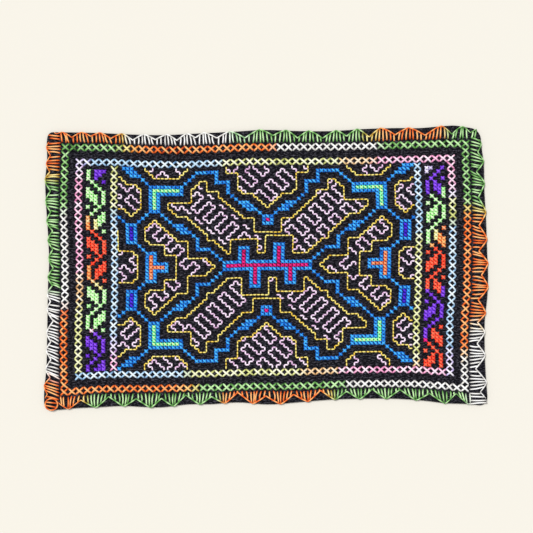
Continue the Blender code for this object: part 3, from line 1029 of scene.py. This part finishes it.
@dataclass(frozen=True)
class Outlines:
    """The gold lines that ring each panel, and the panels' closed outlines."""

    rows_far: float = 28.5      # the near half has one more row of cells, which the stubs cross
    stub_columns: tuple[float, ...] = (-31.5, -20.5, -10.5)
    side_column: float = -38.5
    past: float = 0.2           # how far an outline runs past a row of crosses that closes it

    def paths(self) -> list[np.ndarray]:
        """Every gold path, in all its copies."""
        stubs = [GoldPath((x, -self.rows_far), "D", Copies.LEFT_AND_RIGHT) for x in self.stub_columns]
        return [path.corners * way for path in [*GOLD_PATHS.values(), *stubs] for way in path.copies.value]

    def panels(self, rows: float) -> dict[str, np.ndarray]:
        """Closed outlines of the far left panels. Where a row of crosses closes one, it runs just past it.

        Args:
            rows: Rows of cells from the middle to the row of crosses.

        Returns:
            Corners of each panel's outline, by its name.
        """
        gold = {name: path.corners for name, path in GOLD_PATHS.items()}
        across, along = (-1, 1), (1, -1)
        past, side = rows + self.past, self.side_column - self.past
        wings = [gold["wing_far"], gold["wing_far"][::-1] * across, gold["wing_near"] * across,
                 gold["wing_middle"][::-1], gold["wing_near"][::-1]]
        arrow = [gold["arrow_outer"], gold["arrow_outer"][::-1] * along, gold["arrow_inner"] * along,
                 gold["arrow_inner"][::-1]]
        return {
            "far": np.vstack([gold["far_panel"], [(-20.5, past), (-31.5, past)]]),
            "side": np.vstack([gold["side_panel"], [(side, 16.5), (side, 25.5)]]),
            "wings": np.vstack(wings),
            "middle": np.vstack([gold["middle_panel"], gold["middle_panel"][::-1] * across,
                                 [(10.5, past), (-10.5, past)]]),
            "arrow": np.vstack(arrow),
            "end": np.vstack([gold["end_panel"], [(side, -4.5), (side, 10.5)]]),
        }


def backstitches(needle: Needle, work: Threadwork, paths: list[np.ndarray], dye: Dye, half_width: float,
                 reach: float) -> None:
    """Add one backstitch for each cell's length of some paths.

    Args:
        needle: Lays the stitches.
        work: Threadwork that they go to.
        paths: Corners of the grid, one cell apart.
        dye: The thread's dye.
        half_width: Half the thread's width.
        reach: Length of a stitch over that of a cell's side.
    """
    ends = np.concatenate([np.stack([path[:-1], path[1:]], axis=1) for path in paths])
    ends = ends[ends[..., 0].mean(axis=1) < needle.layout.right_columns]
    _, once = np.unique(ends.sum(axis=1), axis=0, return_index=True)   # two paths may share a stitch
    spots = needle.layout.on_grid(ends[np.sort(once)])
    middle = spots.mean(axis=1, keepdims=True)
    spots = middle + (spots - middle) * reach
    lines = needle.stitch(spots[:, 0], spots[:, 1], half_width, needle.line_rings)
    work.add(lines, half_width, dye.tones(needle.tones(len(lines), needle.line_tone, needle.line_rings)))


@dataclass
class GoldLines(Stitching):
    """Gold line stitch around the panels."""

    outlines: Outlines
    half_width: float = 0.56
    reach: float = 0.96

    def build(self) -> bpy.types.Object:
        """Make the gold outlines."""
        work = Threadwork("panel_outline_backstitch", "bright_thread", self.finish)
        backstitches(self.needle, work, self.outlines.paths(), Dye.GOLD, self.half_width, self.reach)
        return work.build()


@dataclass(frozen=True)
class Filling:
    """One panel's filling: lines that wind to and fro on the slant, side by side.

    A line goes up along a bar, turns by three stitches, comes down a bar and turns again, so that it
    moves on by three cells to the right and three down.
    """

    panel: str
    mirror: tuple[int, int]        # how the panel lies to the far left one
    turn: tuple[float, float]      # a grid corner where the line starts a lower turn
    bar: int                       # length of a bar, in slanting steps of two stitches
    beside: tuple[int, int] = (4, 4)       # from one winding line to the next
    windings: tuple[int, ...] = (-2, -1, 0, 1, 2)
    dash_rows: tuple[tuple[int, int, str], ...] = ()    # from the turn to a row's first dash, and its steps
    slant: int = 1                 # -1 for bars that lean the other way
    columns: tuple[float, float] = (-99.0, 0.0)     # the filling keeps between these columns
    rows: tuple[float, float] = (-99.0, 99.0)       # and between these rows
    margin: float = 0.45
    shortest: int = 2
    periods: int = 16
    stride: int = 3      # cells that one way up and down moves on by, to the right and down

    def winding(self, number: int) -> np.ndarray:
        """Grid corners of one winding line, before it is cut to the panel."""
        steps = f"R D R {'U R ' * self.bar}D R D {'L D ' * self.bar}" * self.periods
        back = self.periods // 2 * self.stride
        corners = walk((-back, back), steps) + np.array(self.beside) * number
        return corners * (self.slant, 1) + self.turn

    def dashes(self, right: int, up: int, steps: str) -> list[np.ndarray]:
        """A row of short dashes beside the winding line, one to each of its turns."""
        dash = (walk((right, up), steps) * (self.slant, 1)) + self.turn
        moves = self.stride * (np.arange(self.periods) - self.periods // 2)
        return [dash + (move * self.slant, -move) for move in moves]

    def paths(self, outlines: Outlines, reach: float) -> list[np.ndarray]:
        """The winding lines and dashes, cut to the panel, without the shortest scraps.

        Args:
            outlines: Gives the panels' outlines.
            reach: Rows of cells from the middle to the row of crosses that closes the panel.

        Returns:
            Corners of each line that is left.
        """
        outline = outlines.panels(reach)[self.panel]
        if self.panel == "wings":      # the near pair is the far pair turned by half a turn
            outline = outline * (self.mirror[0] * self.mirror[1], 1)
        kept = []
        lines = [self.winding(number) for number in self.windings]
        for line in lines + [dash for row in self.dash_rows for dash in self.dashes(*row)]:
            middles = (line[:-1] + line[1:]) / 2
            clear = inside(middles, outline, self.margin)
            for at, (low, high) in zip(middles.T, (self.columns, self.rows)):
                clear &= (at > low) & (at < high)
            breaks = np.flatnonzero(np.diff(clear.astype(int))) + 1
            for run in np.split(np.arange(len(middles)), breaks):
                if clear[run[0]] and len(run) >= self.shortest:
                    kept.append(line[run[0]:run[-1] + 2] * self.mirror)
        return kept


def inside(points: np.ndarray, outline: np.ndarray, margin: float) -> np.ndarray:
    """Which points lie inside a closed outline and at least a margin from it.

    A point is inside when a ray from it crosses the outline an odd number of times.

    Args:
        points: Points to test.
        outline: Closed outline.
        margin: Least distance from the outline.

    Returns:
        True for each point that is well inside.
    """
    start, end = outline[None], np.roll(outline, -1, axis=0)[None]
    x, y = points[:, None, 0], points[:, None, 1]
    spans = (start[..., 1] > y) != (end[..., 1] > y)
    rise = np.where(end[..., 1] == start[..., 1], 1, end[..., 1] - start[..., 1])
    crossing = start[..., 0] + (y - start[..., 1]) * (end[..., 0] - start[..., 0]) / rise
    odd = (spans & (x < crossing)).sum(axis=1) % 2 == 1
    run = end - start
    share = ((points[:, None] - start) * run).sum(-1) / np.maximum((run * run).sum(-1), 1e-9)
    nearest = start + np.clip(share, 0, 1)[..., None] * run
    return odd & (np.linalg.norm(points[:, None] - nearest, axis=-1).min(axis=1) >= margin)


@dataclass
class PanelFillings(Stitching):
    """Rose line stitch that winds through every panel."""

    outlines: Outlines
    half_width: float = 0.64
    reach: float = 1.04
    fillings: tuple[Filling, ...] = (
        Filling("wings", (1, 1), (-19.5, 16.5), 3, windings=(0,),
                dash_rows=((7, 1, "R D R"), (10, 4, "D R D"), (1, -2, "D R D R"), (-2, -4, "R D R D R"))),
        Filling("wings", (1, 1), (-24.5, 17.5), 1, windings=(0,), columns=(-99, -21.8)),
        Filling("wings", (-1, 1), (-16.5, 15.5), 3, (5, 3)),
        Filling("wings", (1, -1), (-18.5, 14.5), 4, windings=(0,), dash_rows=((10, 4, "D R D"),)),
        Filling("wings", (1, -1), (-24.5, 16.5), 2, windings=(0,), columns=(-99, -21.2)),
        Filling("wings", (-1, -1), (-15.5, 10.5), 4, windings=(0,),
                dash_rows=((8, 2, "R D R"), (10, 4, "R U R"), (-2, -4, "R D R"), (-4, -6, "R D R"))),
        Filling("middle", (-1, 1), (-5.5, 22.5), 3, (5, 4), columns=(-99, 11)),
        Filling("middle", (1, -1), (-6.5, 23.5), 3, columns=(-99, 11)),
        Filling("arrow", (1, 1), (-29.5, 8.5), 2, rows=(3.2, 99), shortest=3),
        Filling("arrow", (-1, 1), (-30.5, 9.5), 2, rows=(2.8, 99), shortest=3),
        Filling("arrow", (1, -1), (-30.5, 8.5), 2, rows=(2.8, 99), shortest=3),
        Filling("arrow", (-1, -1), (-28.5, 6.5), 2, rows=(3.2, 99), shortest=3),
        Filling("arrow", (1, 1), (-22.5, 0.5), 2, (6, 1), rows=(-3.2, 3.2), columns=(-23, 0), shortest=4),
        Filling("arrow", (-1, -1), (-23.5, 0.5), 2, (6, 1), rows=(-3.2, 3.2), columns=(-23, 0), shortest=4),
        Filling("side", (1, 1), (-30.5, 18.5), 3, slant=-1),
        Filling("side", (-1, 1), (-38.5, 17.5), 3),
        Filling("side", (1, -1), (-31.5, 18.5), 3, slant=-1),
        Filling("side", (-1, -1), (-39.5, 17.5), 3),
        Filling("far", (1, 1), (-30.5, 26.5), 2),
        Filling("far", (-1, 1), (-29.5, 27.5), 2),
        Filling("far", (1, -1), (-30.5, 27.5), 3),
        Filling("far", (-1, -1), (-28.5, 26.5), 2, slant=-1, shortest=4),
        Filling("end", (1, 1), (-33.5, -0.5), 2, slant=-1),
        Filling("end", (-1, 1), (-40.5, 3.5), 2),
    )

    def build(self) -> bpy.types.Object:
        """Make the rose fillings."""
        work = Threadwork("panel_filling_backstitch", "bright_thread", self.finish)
        layout = self.needle.layout
        reach = {1: layout.rows_far, -1: layout.rows_near}
        paths = [path for filling in self.fillings
                 for path in filling.paths(self.outlines, reach[filling.mirror[1]])]
        backstitches(self.needle, work, paths, Dye.ROSE, self.half_width, self.reach)
        return work.build()


@dataclass(frozen=True)
class Shades:
    """Dyes of a space-dyed thread along a side: from which place on, in mm, and which dye."""

    rows: tuple[tuple[float, Dye], ...]
    blend: float = 3.5

    def at(self, places: np.ndarray, tone: np.ndarray) -> np.ndarray:
        """Colours at places along the side, each blending softly into the next.

        Args:
            places: Places along the side, in mm.
            tone: Tone at each place, from 0 for the painted shade to 1 for the painted highlight.

        Returns:
            Linear colours.
        """
        starts = np.array([place for place, _ in self.rows])
        stops = np.stack([starts[1:] - self.blend, starts[1:] + self.blend], axis=1).ravel()
        stops = np.maximum.accumulate(stops)
        ramps = np.array([dye.ramp() for _, dye in self.rows])
        steps = np.stack([ramps[:-1], ramps[1:]], axis=1).reshape(len(stops), -1)
        mixed = np.stack([np.interp(places, stops, step) for step in steps.T], axis=-1)
        return shade(mixed.reshape(*places.shape, *ramps.shape[1:]), tone)


@dataclass(frozen=True)
class CrossRow:
    """One side's row of large crosses, which share their corners with their neighbours."""

    side: Side
    run: tuple[float, float]
    across: tuple[float, float]
    shades: Shades
    reach: float = 0.52                              # half a cross's length over the pitch
    leg_shade_tones: tuple[float, float] = (0.54, 0.7)     # middle tones of the lower and the upper legs: the lower legs get painted shade
    rings: int = 9                                   # points along a leg

    def sew(self, needle: Needle, work: Threadwork, pitch: float, half_width: float) -> None:
        """Add the row's crosses.

        Args:
            needle: Lays the stitches.
            work: Threadwork that they go to.
            pitch: Wanted space between crosses.
            half_width: Half the thread's width.
        """
        count = round((self.run[1] - self.run[0]) / pitch)
        step = (self.run[1] - self.run[0]) / count
        along = self.run[0] + (np.arange(count) + 0.5) * step
        middles = self.side.plan(along, np.full(count, sum(self.across) / 2))
        half = self.side.plan(np.array(step * self.reach), np.array((self.across[1] - self.across[0]) / 2))
        places = np.repeat(along[:, None], self.rings, axis=1)
        # crown: the painted highlight on each leg's middle, over the painted shade at its ends
        dyes = tuple(self.shades.at(places, needle.tones(count, middle, self.rings, crown=0.55))
                     for middle in self.leg_shade_tones)
        needle.cross(work, middles, half, half_width, dyes, self.rings, shake=0.15)


@dataclass
class CrossRows(Stitching):
    """The rows of large crosses: one ring on the hem, one around the field, and two beside the field."""

    pitch_across: float = 6.2
    pitch_along: float = 5.7
    width_across: float = 0.77     # half widths: the thread lies a little looser along the long sides
    width_along: float = 0.72
    left_row: tuple[float, float] = (-125.25, -119.35)
    right_row: tuple[float, float] = (118.05, 123.95)

    def ring(self, outer: Band, inner: Band, shades: dict[Side, Shades]) -> list[CrossRow]:
        """The four rows of a ring between two rectangles."""
        rows = []
        for side, its_shades in shades.items():
            run = outer.run(side) if side.axis == 0 else inner.run(side)
            rows.append(CrossRow(side, run, tuple(sorted((inner.edge(side), outer.edge(side)))), its_shades))
        return rows

    def build(self) -> list[bpy.types.Object]:
        """Make the hem's ring, and then the field's ring with its side rows."""
        layout = self.needle.layout
        hem = self.ring(layout.rim_row, layout.hem_inner, {
            Side.FAR: Shades(((-170, Dye.GREEN), (-117.2, Dye.MUSTARD), (-107, Dye.ORANGE), (7.2, Dye.WHITE),
                              (90, Dye.GREEN))),
            Side.LEFT: Shades(((-100, Dye.ORANGE), (-29.8, Dye.WHITE), (47, Dye.GREEN))),
            Side.NEAR: Shades(((-170, Dye.ORANGE), (-63, Dye.MUSTARD), (-55, Dye.GREEN), (63.6, Dye.WHITE))),
            Side.RIGHT: Shades(((-100, Dye.WHITE), (-71.4, Dye.CREAM), (-67, Dye.ORANGE), (42, Dye.MUSTARD),
                                (48.5, Dye.GREEN))),
        })
        field_rows = self.ring(layout.row_outer, layout.row_inner, {
            Side.FAR: Shades(((-160, Dye.LILAC), (-143, Dye.PALE_BLUE), (-36.4, Dye.PALE_LIME),
                              (58.8, Dye.PEACH), (87, Dye.PINK))),
            Side.LEFT: Shades(((-90, Dye.PALE_LIME), (-26.6, Dye.PEACH), (-3.4, Dye.PINK),
                               (77.8, Dye.LILAC))),
            Side.NEAR: Shades(((-160, Dye.PALE_BLUE), (-64.4, Dye.PALE_LIME), (28, Dye.PEACH), (58, Dye.PINK),
                               (144, Dye.LILAC))),
            Side.RIGHT: Shades(((-90, Dye.LILAC), (-66, Dye.PALE_BLUE), (34, Dye.PALE_LIME),
                                (54.5, Dye.LILAC), (60.5, Dye.PINK))),
        })
        run = layout.row_inner.run(Side.LEFT)
        field_rows += [
            CrossRow(Side.LEFT, run, self.left_row,
                     Shades(((-90, Dye.PINK), (-68, Dye.LILAC), (-54.6, Dye.PALE_BLUE),
                             (47.4, Dye.PALE_LIME)))),
            CrossRow(Side.RIGHT, run, self.right_row,
                     Shades(((-90, Dye.PEACH), (-76, Dye.PALE_LIME), (25.4, Dye.PALE_BLUE)))),
        ]
        pieces = []
        for name, rows in (("hem_cross_row", hem), ("field_cross_rows", field_rows)):
            work = Threadwork(name, "border_thread", self.finish)
            for row in rows:
                across = row.side.axis == 0
                row.sew(self.needle, work, self.pitch_across if across else self.pitch_along,
                        self.width_across if across else self.width_along)
            pieces.append(work.build())
        return pieces


@dataclass(frozen=True)
class EdgeSide:
    """One side of the edge stitching."""

    side: Side
    spokes: tuple[float, float]   # where the side's spokes start and end
    rim: tuple[float, float]      # where its rim thread does
    pitch: float                  # from spoke to spoke
    peaks: tuple[float, ...]      # where the rim thread reaches the cloth's edge
    shades: Shades
    depth: tuple[float, float]    # how far in the rim thread dips, at the side's start and at its end
    bow: float                    # 1 for straight flanks between peak and valley, more for rounder peaks
    gather: float                 # how much the spokes lean to the nearest peak
    valley_at: float = 0.5        # where the rim thread dips, from one peak to the next


@dataclass
class EdgeStitching(Stitching):
    """Straight spokes over the hem, and rim threads that wind from peak to peak at their ends."""

    half_width: float = 0.6
    rim_half_width: float = 0.56
    spoke_gap: float = 0.7      # from the hem's row of crosses to a spoke's end
    gather_reach: float = 8.0   # how far from a peak its spokes stand upright again
    rim_step: float = 0.9
    rim_out: float = 0.15       # how far the rim thread lies outside the spokes' tips
    rim_sink: float = 2.5       # length over which it sinks in at a side's ends
    rim_shake: float = 0.05
    tone: float = 0.62          # middle tone of the spokes and the rim thread
    rings: int = 9              # points along a spoke
    next_peak: float = 18.0     # from a side's last peak to the next one, round the corner
    full_gap: float = 17.0      # closer peaks than this have shallower valleys between them
    valley_spread: float = 0.14     # how much the valleys' depths differ, as a share
    fold_drop: float = 0.8      # how far a thread at the cloth's very edge lies below the hem's top
    # How far single stitches stray: places along the side, tips, feet and the middles of their bends
    along_shake: float = 0.22
    tip_shake: float = 0.15
    foot_shake: float = 0.25
    bend: float = 0.28
    loop_middle: tuple[float, float] = (-171.9, -108.8)     # oval loop at the near left corner
    loop_half: tuple[float, float] = (5.0, 4.6)
    loop_threads: Chart = ((0.3, -0.12), (-0.35, -0.2))     # across the loop: how far up, and the slope
    sides: tuple[EdgeSide, ...] = (
        EdgeSide(Side.FAR, (-164.8, 167.0), (-170.0, 168.0), 3.06,
                 (-171.5, -163.5, -147.6, -133.2, -115.6, -98, -79.6, -63.6, -50, -29.2, -5.2, 15.6, 34, 55.6,
                  72.4, 91.6, 114, 139.6, 156.8, 169.0),
                 Shades(((-180, Dye.ORANGE), (-118, Dye.MUSTARD), (-114, Dye.WHITE), (-29, Dye.PALE_GREEN),
                         (-12, Dye.GREEN), (78, Dye.MUSTARD), (90, Dye.ORANGE), (143.5, Dye.GREEN))),
                 (4.0, 6.9), 1.3, 0.35),
        EdgeSide(Side.LEFT, (-101.5, 105.8), (-104.0, 101.0), 2.72,
                 (-107, -94.2, -80.6, -65.4, -51.8, -32.6, -20.6, -7, 7.4, 22.6, 37, 53, 70.6, 83.4, 97,
                  108),
                 Shades(((-120, Dye.ORANGE), (-86.6, Dye.WHITE), (-17.8, Dye.GREEN), (70, Dye.MUSTARD),
                         (78, Dye.ORANGE))), (4.8, 4.6), 1.4, 0.35),
        EdgeSide(Side.NEAR, (-165.4, 163.4), (-166.5, 163.6), 3.1,
                 (-158.4, -136.4, -114, -92.4, -74, -53.2, -33.2, -10.8, 11.6, 33.2, 54.8, 74.8, 95.6, 119.6,
                  142.8, 161.4),
                 Shades(((-180, Dye.ORANGE), (-149, Dye.MUSTARD), (-145, Dye.GREEN), (-36.4, Dye.ORANGE),
                         (47, Dye.MUSTARD), (53, Dye.GREEN), (161.4, Dye.WHITE))),
                 (7.2, 7.4), 1.12, 0.42, valley_at=0.46),
        EdgeSide(Side.RIGHT, (-107.6, 101.6), (-104.0, 103.0), 2.85,
                 (-106.6, -91.2, -69.4, -51, -35.8, -15, 4.2, 23.4, 45, 68.2, 85.8, 99.6),
                 Shades(((-120, Dye.WHITE), (-48.4, Dye.CREAM), (-42, Dye.ORANGE), (41, Dye.MUSTARD),
                         (49, Dye.GREEN))), (7.4, 5.6), 1.2, 0.4),
    )

    def dip(self, side: EdgeSide, along: np.ndarray) -> np.ndarray:
        """How far in from the cloth's edge the rim thread lies.

        From a peak to the valley beside it, it is the depth times the share of the way to the power of
        the side's bow, so that peaks are round and valleys are sharp.

        Args:
            side: The side of the edge stitching.
            along: Places along the side.

        Returns:
            Millimetres in from the edge.
        """
        peaks = np.array([side.peaks[0] - self.next_peak, *side.peaks, side.peaks[-1] + self.next_peak])
        i = np.clip(np.searchsorted(peaks, along) - 1, 0, len(peaks) - 2)
        t = (along - peaks[i]) / (peaks[i + 1] - peaks[i])
        falling, rising = t / side.valley_at, (1 - t) / (1 - side.valley_at)
        share = np.clip(np.where(t < side.valley_at, falling, rising), 0, 1)
        uneven = 1 + self.valley_spread * np.sin(i * 2.4 + side.pitch)
        depths = np.interp(along, side.rim, side.depth) * uneven
        reach = np.minimum(1, (peaks[i + 1] - peaks[i]) / self.full_gap)
        return depths * reach * share ** side.bow

    def rim_points(self, side: EdgeSide, along: np.ndarray, far_in: np.ndarray) -> np.ndarray:
        """Points on the cloth at some distance in from its edge, over the rounded fold."""
        layout = self.needle.layout
        across = layout.edge(side.side, along) - side.side.out * far_in
        plan = side.side.plan(along, across)
        over = np.clip(1 - far_in / layout.fold_round, 0, 1.2)
        height = layout.hem_top - self.fold_drop * over ** 2
        return np.concatenate([plan - layout.middle, height[..., None]], axis=-1)

    def spokes(self, side: EdgeSide, work: Threadwork) -> None:
        """Add the straight stitches that run in from the rim thread.

        A spoke lies on the hem with its middle 0.85 of its half width up. It dives by 1.6 half widths at
        its foot, with the tenth power of the way from its tip, and follows the fold at its tip, with the
        sixth power of the way from its foot.

        Args:
            side: The side of the edge stitching.
            work: Threadwork that they go to.
        """
        layout, rng = self.needle.layout, self.needle.rng
        first, last = side.spokes
        count = round((last - first) / side.pitch) + 1
        along = np.linspace(first, last, count) + rng.normal(0, self.along_shake, count)
        peaks = np.array(side.peaks)
        nearest = peaks[np.abs(along[:, None] - peaks).argmin(axis=1)]
        lean = side.gather * (nearest - along) * np.exp(-((nearest - along) / self.gather_reach) ** 2)
        tip_along = along + lean + rng.normal(0, self.tip_shake, count)
        tip = self.rim_points(side, tip_along, self.dip(side, tip_along))
        row = side.side.plan(along, np.full(count, layout.rim_row.edge(side.side)))
        foot = layout.lay(row)[:, :2]
        outward = tip[:, :2] - foot
        outward /= np.linalg.norm(outward, axis=1, keepdims=True)
        foot = foot + outward * (self.spoke_gap + rng.normal(0, self.foot_shake, (count, 1)))
        t = np.linspace(0, 1, self.rings)
        bend = rng.normal(0, self.bend, (count, 1, 1)) * np.sin(np.pi * t)[None, :, None]
        aside = np.column_stack([-outward[:, 1], outward[:, 0]])[:, None]
        plan = foot[:, None] + (tip[:, None, :2] - foot[:, None]) * t[None, :, None] + bend * aside
        height = layout.hem_top + (tip[:, None, 2] - layout.hem_top) * t[None] ** 6
        height = height + self.half_width * (0.85 - 1.6 * (1 - t) ** 10)
        lines = np.concatenate([plan, height[..., None]], axis=-1)
        places = np.repeat(along[:, None], self.rings, axis=1)
        dyes = side.shades.at(places, self.needle.tones(count, self.tone, self.rings))
        work.add(lines, self.half_width, dyes, taper=0.25)

    def rim(self, side: EdgeSide, work: Threadwork) -> None:
        """Add the thread that runs along a side at its spokes' ends.

        Its middle lies 1.3 half widths over the hem, and comes down softly by 1.6 half widths at its ends.

        Args:
            side: The side of the edge stitching.
            work: Threadwork that it goes to.
        """
        first, last = side.rim
        along = np.linspace(first, last, round((last - first) / self.rim_step))
        along = along + self.needle.rng.normal(0, self.rim_shake, len(along))
        ends = np.minimum(np.abs(along - first), np.abs(along - last))
        line = self.rim_points(side, along, self.dip(side, along) - self.rim_out)
        line[:, 2] += self.rim_half_width * 1.3 - 1.6 * self.rim_half_width * (1 - ease(ends / self.rim_sink))
        # Painted highlights and painted shade in turn along the twisted thread
        tone = np.clip(self.tone + 0.3 * np.sin(along * 1.1), 0, 1)
        work.add(line[None], self.rim_half_width, side.shades.at(along, tone)[None])

    def corner_loop(self, work: Threadwork) -> None:
        """Add the oval loop at the near left corner, with two threads across it."""
        layout = self.needle.layout
        turn = np.linspace(0, 2 * np.pi, 40, endpoint=False)
        ring = np.column_stack([np.cos(turn), np.sin(turn)]) * self.loop_half + self.loop_middle
        lines = [(ring, True)]
        t = np.linspace(-1, 1, 9)[:, None]
        for up, tilt in self.loop_threads:
            wide = (1 - up ** 2) ** 0.5
            across = np.column_stack([t * wide, up + tilt * t])
            lines.append((across * self.loop_half + self.loop_middle, False))
        for plan, closed in lines:
            height = np.full(len(plan), layout.hem_top + self.rim_half_width * 0.9)
            line = np.column_stack([plan - layout.middle, height])
            # Painted highlights and painted shade in turn along the twisted thread
            tone = 0.55 + 0.3 * np.sin(np.arange(len(plan)) * 0.7)
            work.add(line[None], self.rim_half_width, Dye.ORANGE.tones(tone)[None], closed=closed)

    def build(self) -> bpy.types.Object:
        """Make the edge stitching."""
        work = Threadwork("hem_edge_stitching", "border_thread", self.finish)
        for side in self.sides:
            self.spokes(side, work)
            self.rim(side, work)
        self.corner_loop(work)
        return work.build()


@dataclass(frozen=True)
class Studio:
    """Plain pale floor, soft light and a camera straight above."""

    floor_colour: str = "#dfdbd1"
    floor_half: float = 8.0
    floor_gap: float = 0.0001      # the floor lies this far under the cloth, so that the two don't mix
    grain: tuple[float, float] = (0.985, 1.01)     # the card's dark and light fibres, over its colour
    lens: float = 85.0
    sensor: float = 36.0
    sky: float = 0.52
    sun: float = 2.72
    sun_angle: float = 0.35
    sun_tilt: tuple[float, float] = (-20.0, -18.0)     # degrees about x and y, from straight down

    def floor(self) -> bpy.types.Object:
        """Make the floor, of matt card."""
        half, below = self.floor_half, -self.floor_gap
        mesh = bpy.data.meshes.new("floor")
        mesh.from_pydata([(-half, -half, below), (half, -half, below), (half, half, below),
                          (-half, half, below)], [], [(0, 1, 2, 3)])
        material, tree, shader = new_material("matt_cream_card")
        node = partial(add_node, tree)
        grain = node("ShaderNodeTexNoise", values={"Scale": 900.0, "Detail": 2.0},
                     links={"Vector": node("ShaderNodeTexCoord").outputs["Object"]})
        dark, light = (linear(self.floor_colour) * share for share in self.grain)
        tint = node("ShaderNodeMix", {"data_type": "RGBA"}, {6: (*dark, 1), 7: (*light, 1)},
                    {0: grain.outputs[0]})
        tree.links.new(tint.outputs[2], shader.inputs["Base Color"])
        shader.inputs["Roughness"].default_value = 0.95
        shader.inputs["Specular IOR Level"].default_value = 0.0
        mesh.materials.append(material)
        floor = bpy.data.objects.new("floor", mesh)
        bpy.context.scene.collection.objects.link(floor)
        return floor

    def light(self) -> None:
        """Light the cloth from all round, with a broad sun from the far left."""
        world = bpy.data.worlds.new("studio")
        world.use_nodes = True
        world.node_tree.nodes["Background"].inputs["Color"].default_value = (1.0, 1.0, 1.0, 1.0)
        world.node_tree.nodes["Background"].inputs["Strength"].default_value = self.sky
        bpy.context.scene.world = world
        sun = bpy.data.lights.new("soft_sun", "SUN")
        sun.energy = self.sun
        sun.angle = self.sun_angle
        lamp = bpy.data.objects.new("soft_sun", sun)
        lamp.rotation_euler = (*np.radians(self.sun_tilt), 0)
        bpy.context.scene.collection.objects.link(lamp)

    def camera(self, layout: Layout) -> None:
        """Put the camera over the photograph's middle pixel, so high that pixels show their real size."""
        camera = bpy.data.cameras.new("camera")
        camera.lens = self.lens
        camera.sensor_width = self.sensor
        holder = bpy.data.objects.new("camera", camera)
        centre = PHOTO_SIDE / 2
        x = (centre - PHOTO_ORIGIN[0]) * MM_PER_PIXEL - layout.middle[0]
        y = (PHOTO_ORIGIN[1] - centre) * MM_PER_PIXEL - layout.middle[1]
        height = PHOTO_SIDE * MM_PER_PIXEL * self.lens / self.sensor + layout.ground_top
        holder.location = (x * MM, y * MM, height * MM)
        bpy.context.scene.collection.objects.link(holder)
        bpy.context.scene.camera = holder


def main() -> None:
    logging.basicConfig(level=logging.INFO, format="%(message)s")
    layout = Layout()
    needle = Needle(layout, np.random.default_rng(SEED))
    stranded = ThreadFinish("stranded_embroidery_cotton", ply_pitch=1.6)
    pearl = ThreadFinish("space_dyed_pearl_cotton", ply_pitch=1.9, roughness=0.5, specular=0.24)
    outlines = Outlines()
    cloth = GroundCloth(layout, CottonFinish()).build()
    stitching = [
        FieldCrosses(needle, stranded).build(),
        LeafColumns(needle, stranded).build(),
        GoldLines(needle, stranded, outlines).build(),
        PanelFillings(needle, stranded, outlines).build(),
        *CrossRows(needle, pearl).build(),
        EdgeStitching(needle, pearl).build(),
    ]
    studio = Studio()
    studio.floor()
    studio.light()
    studio.camera(layout)
    bpy.context.scene.view_settings.view_transform = "Standard"


if __name__ == "__main__":
    main()
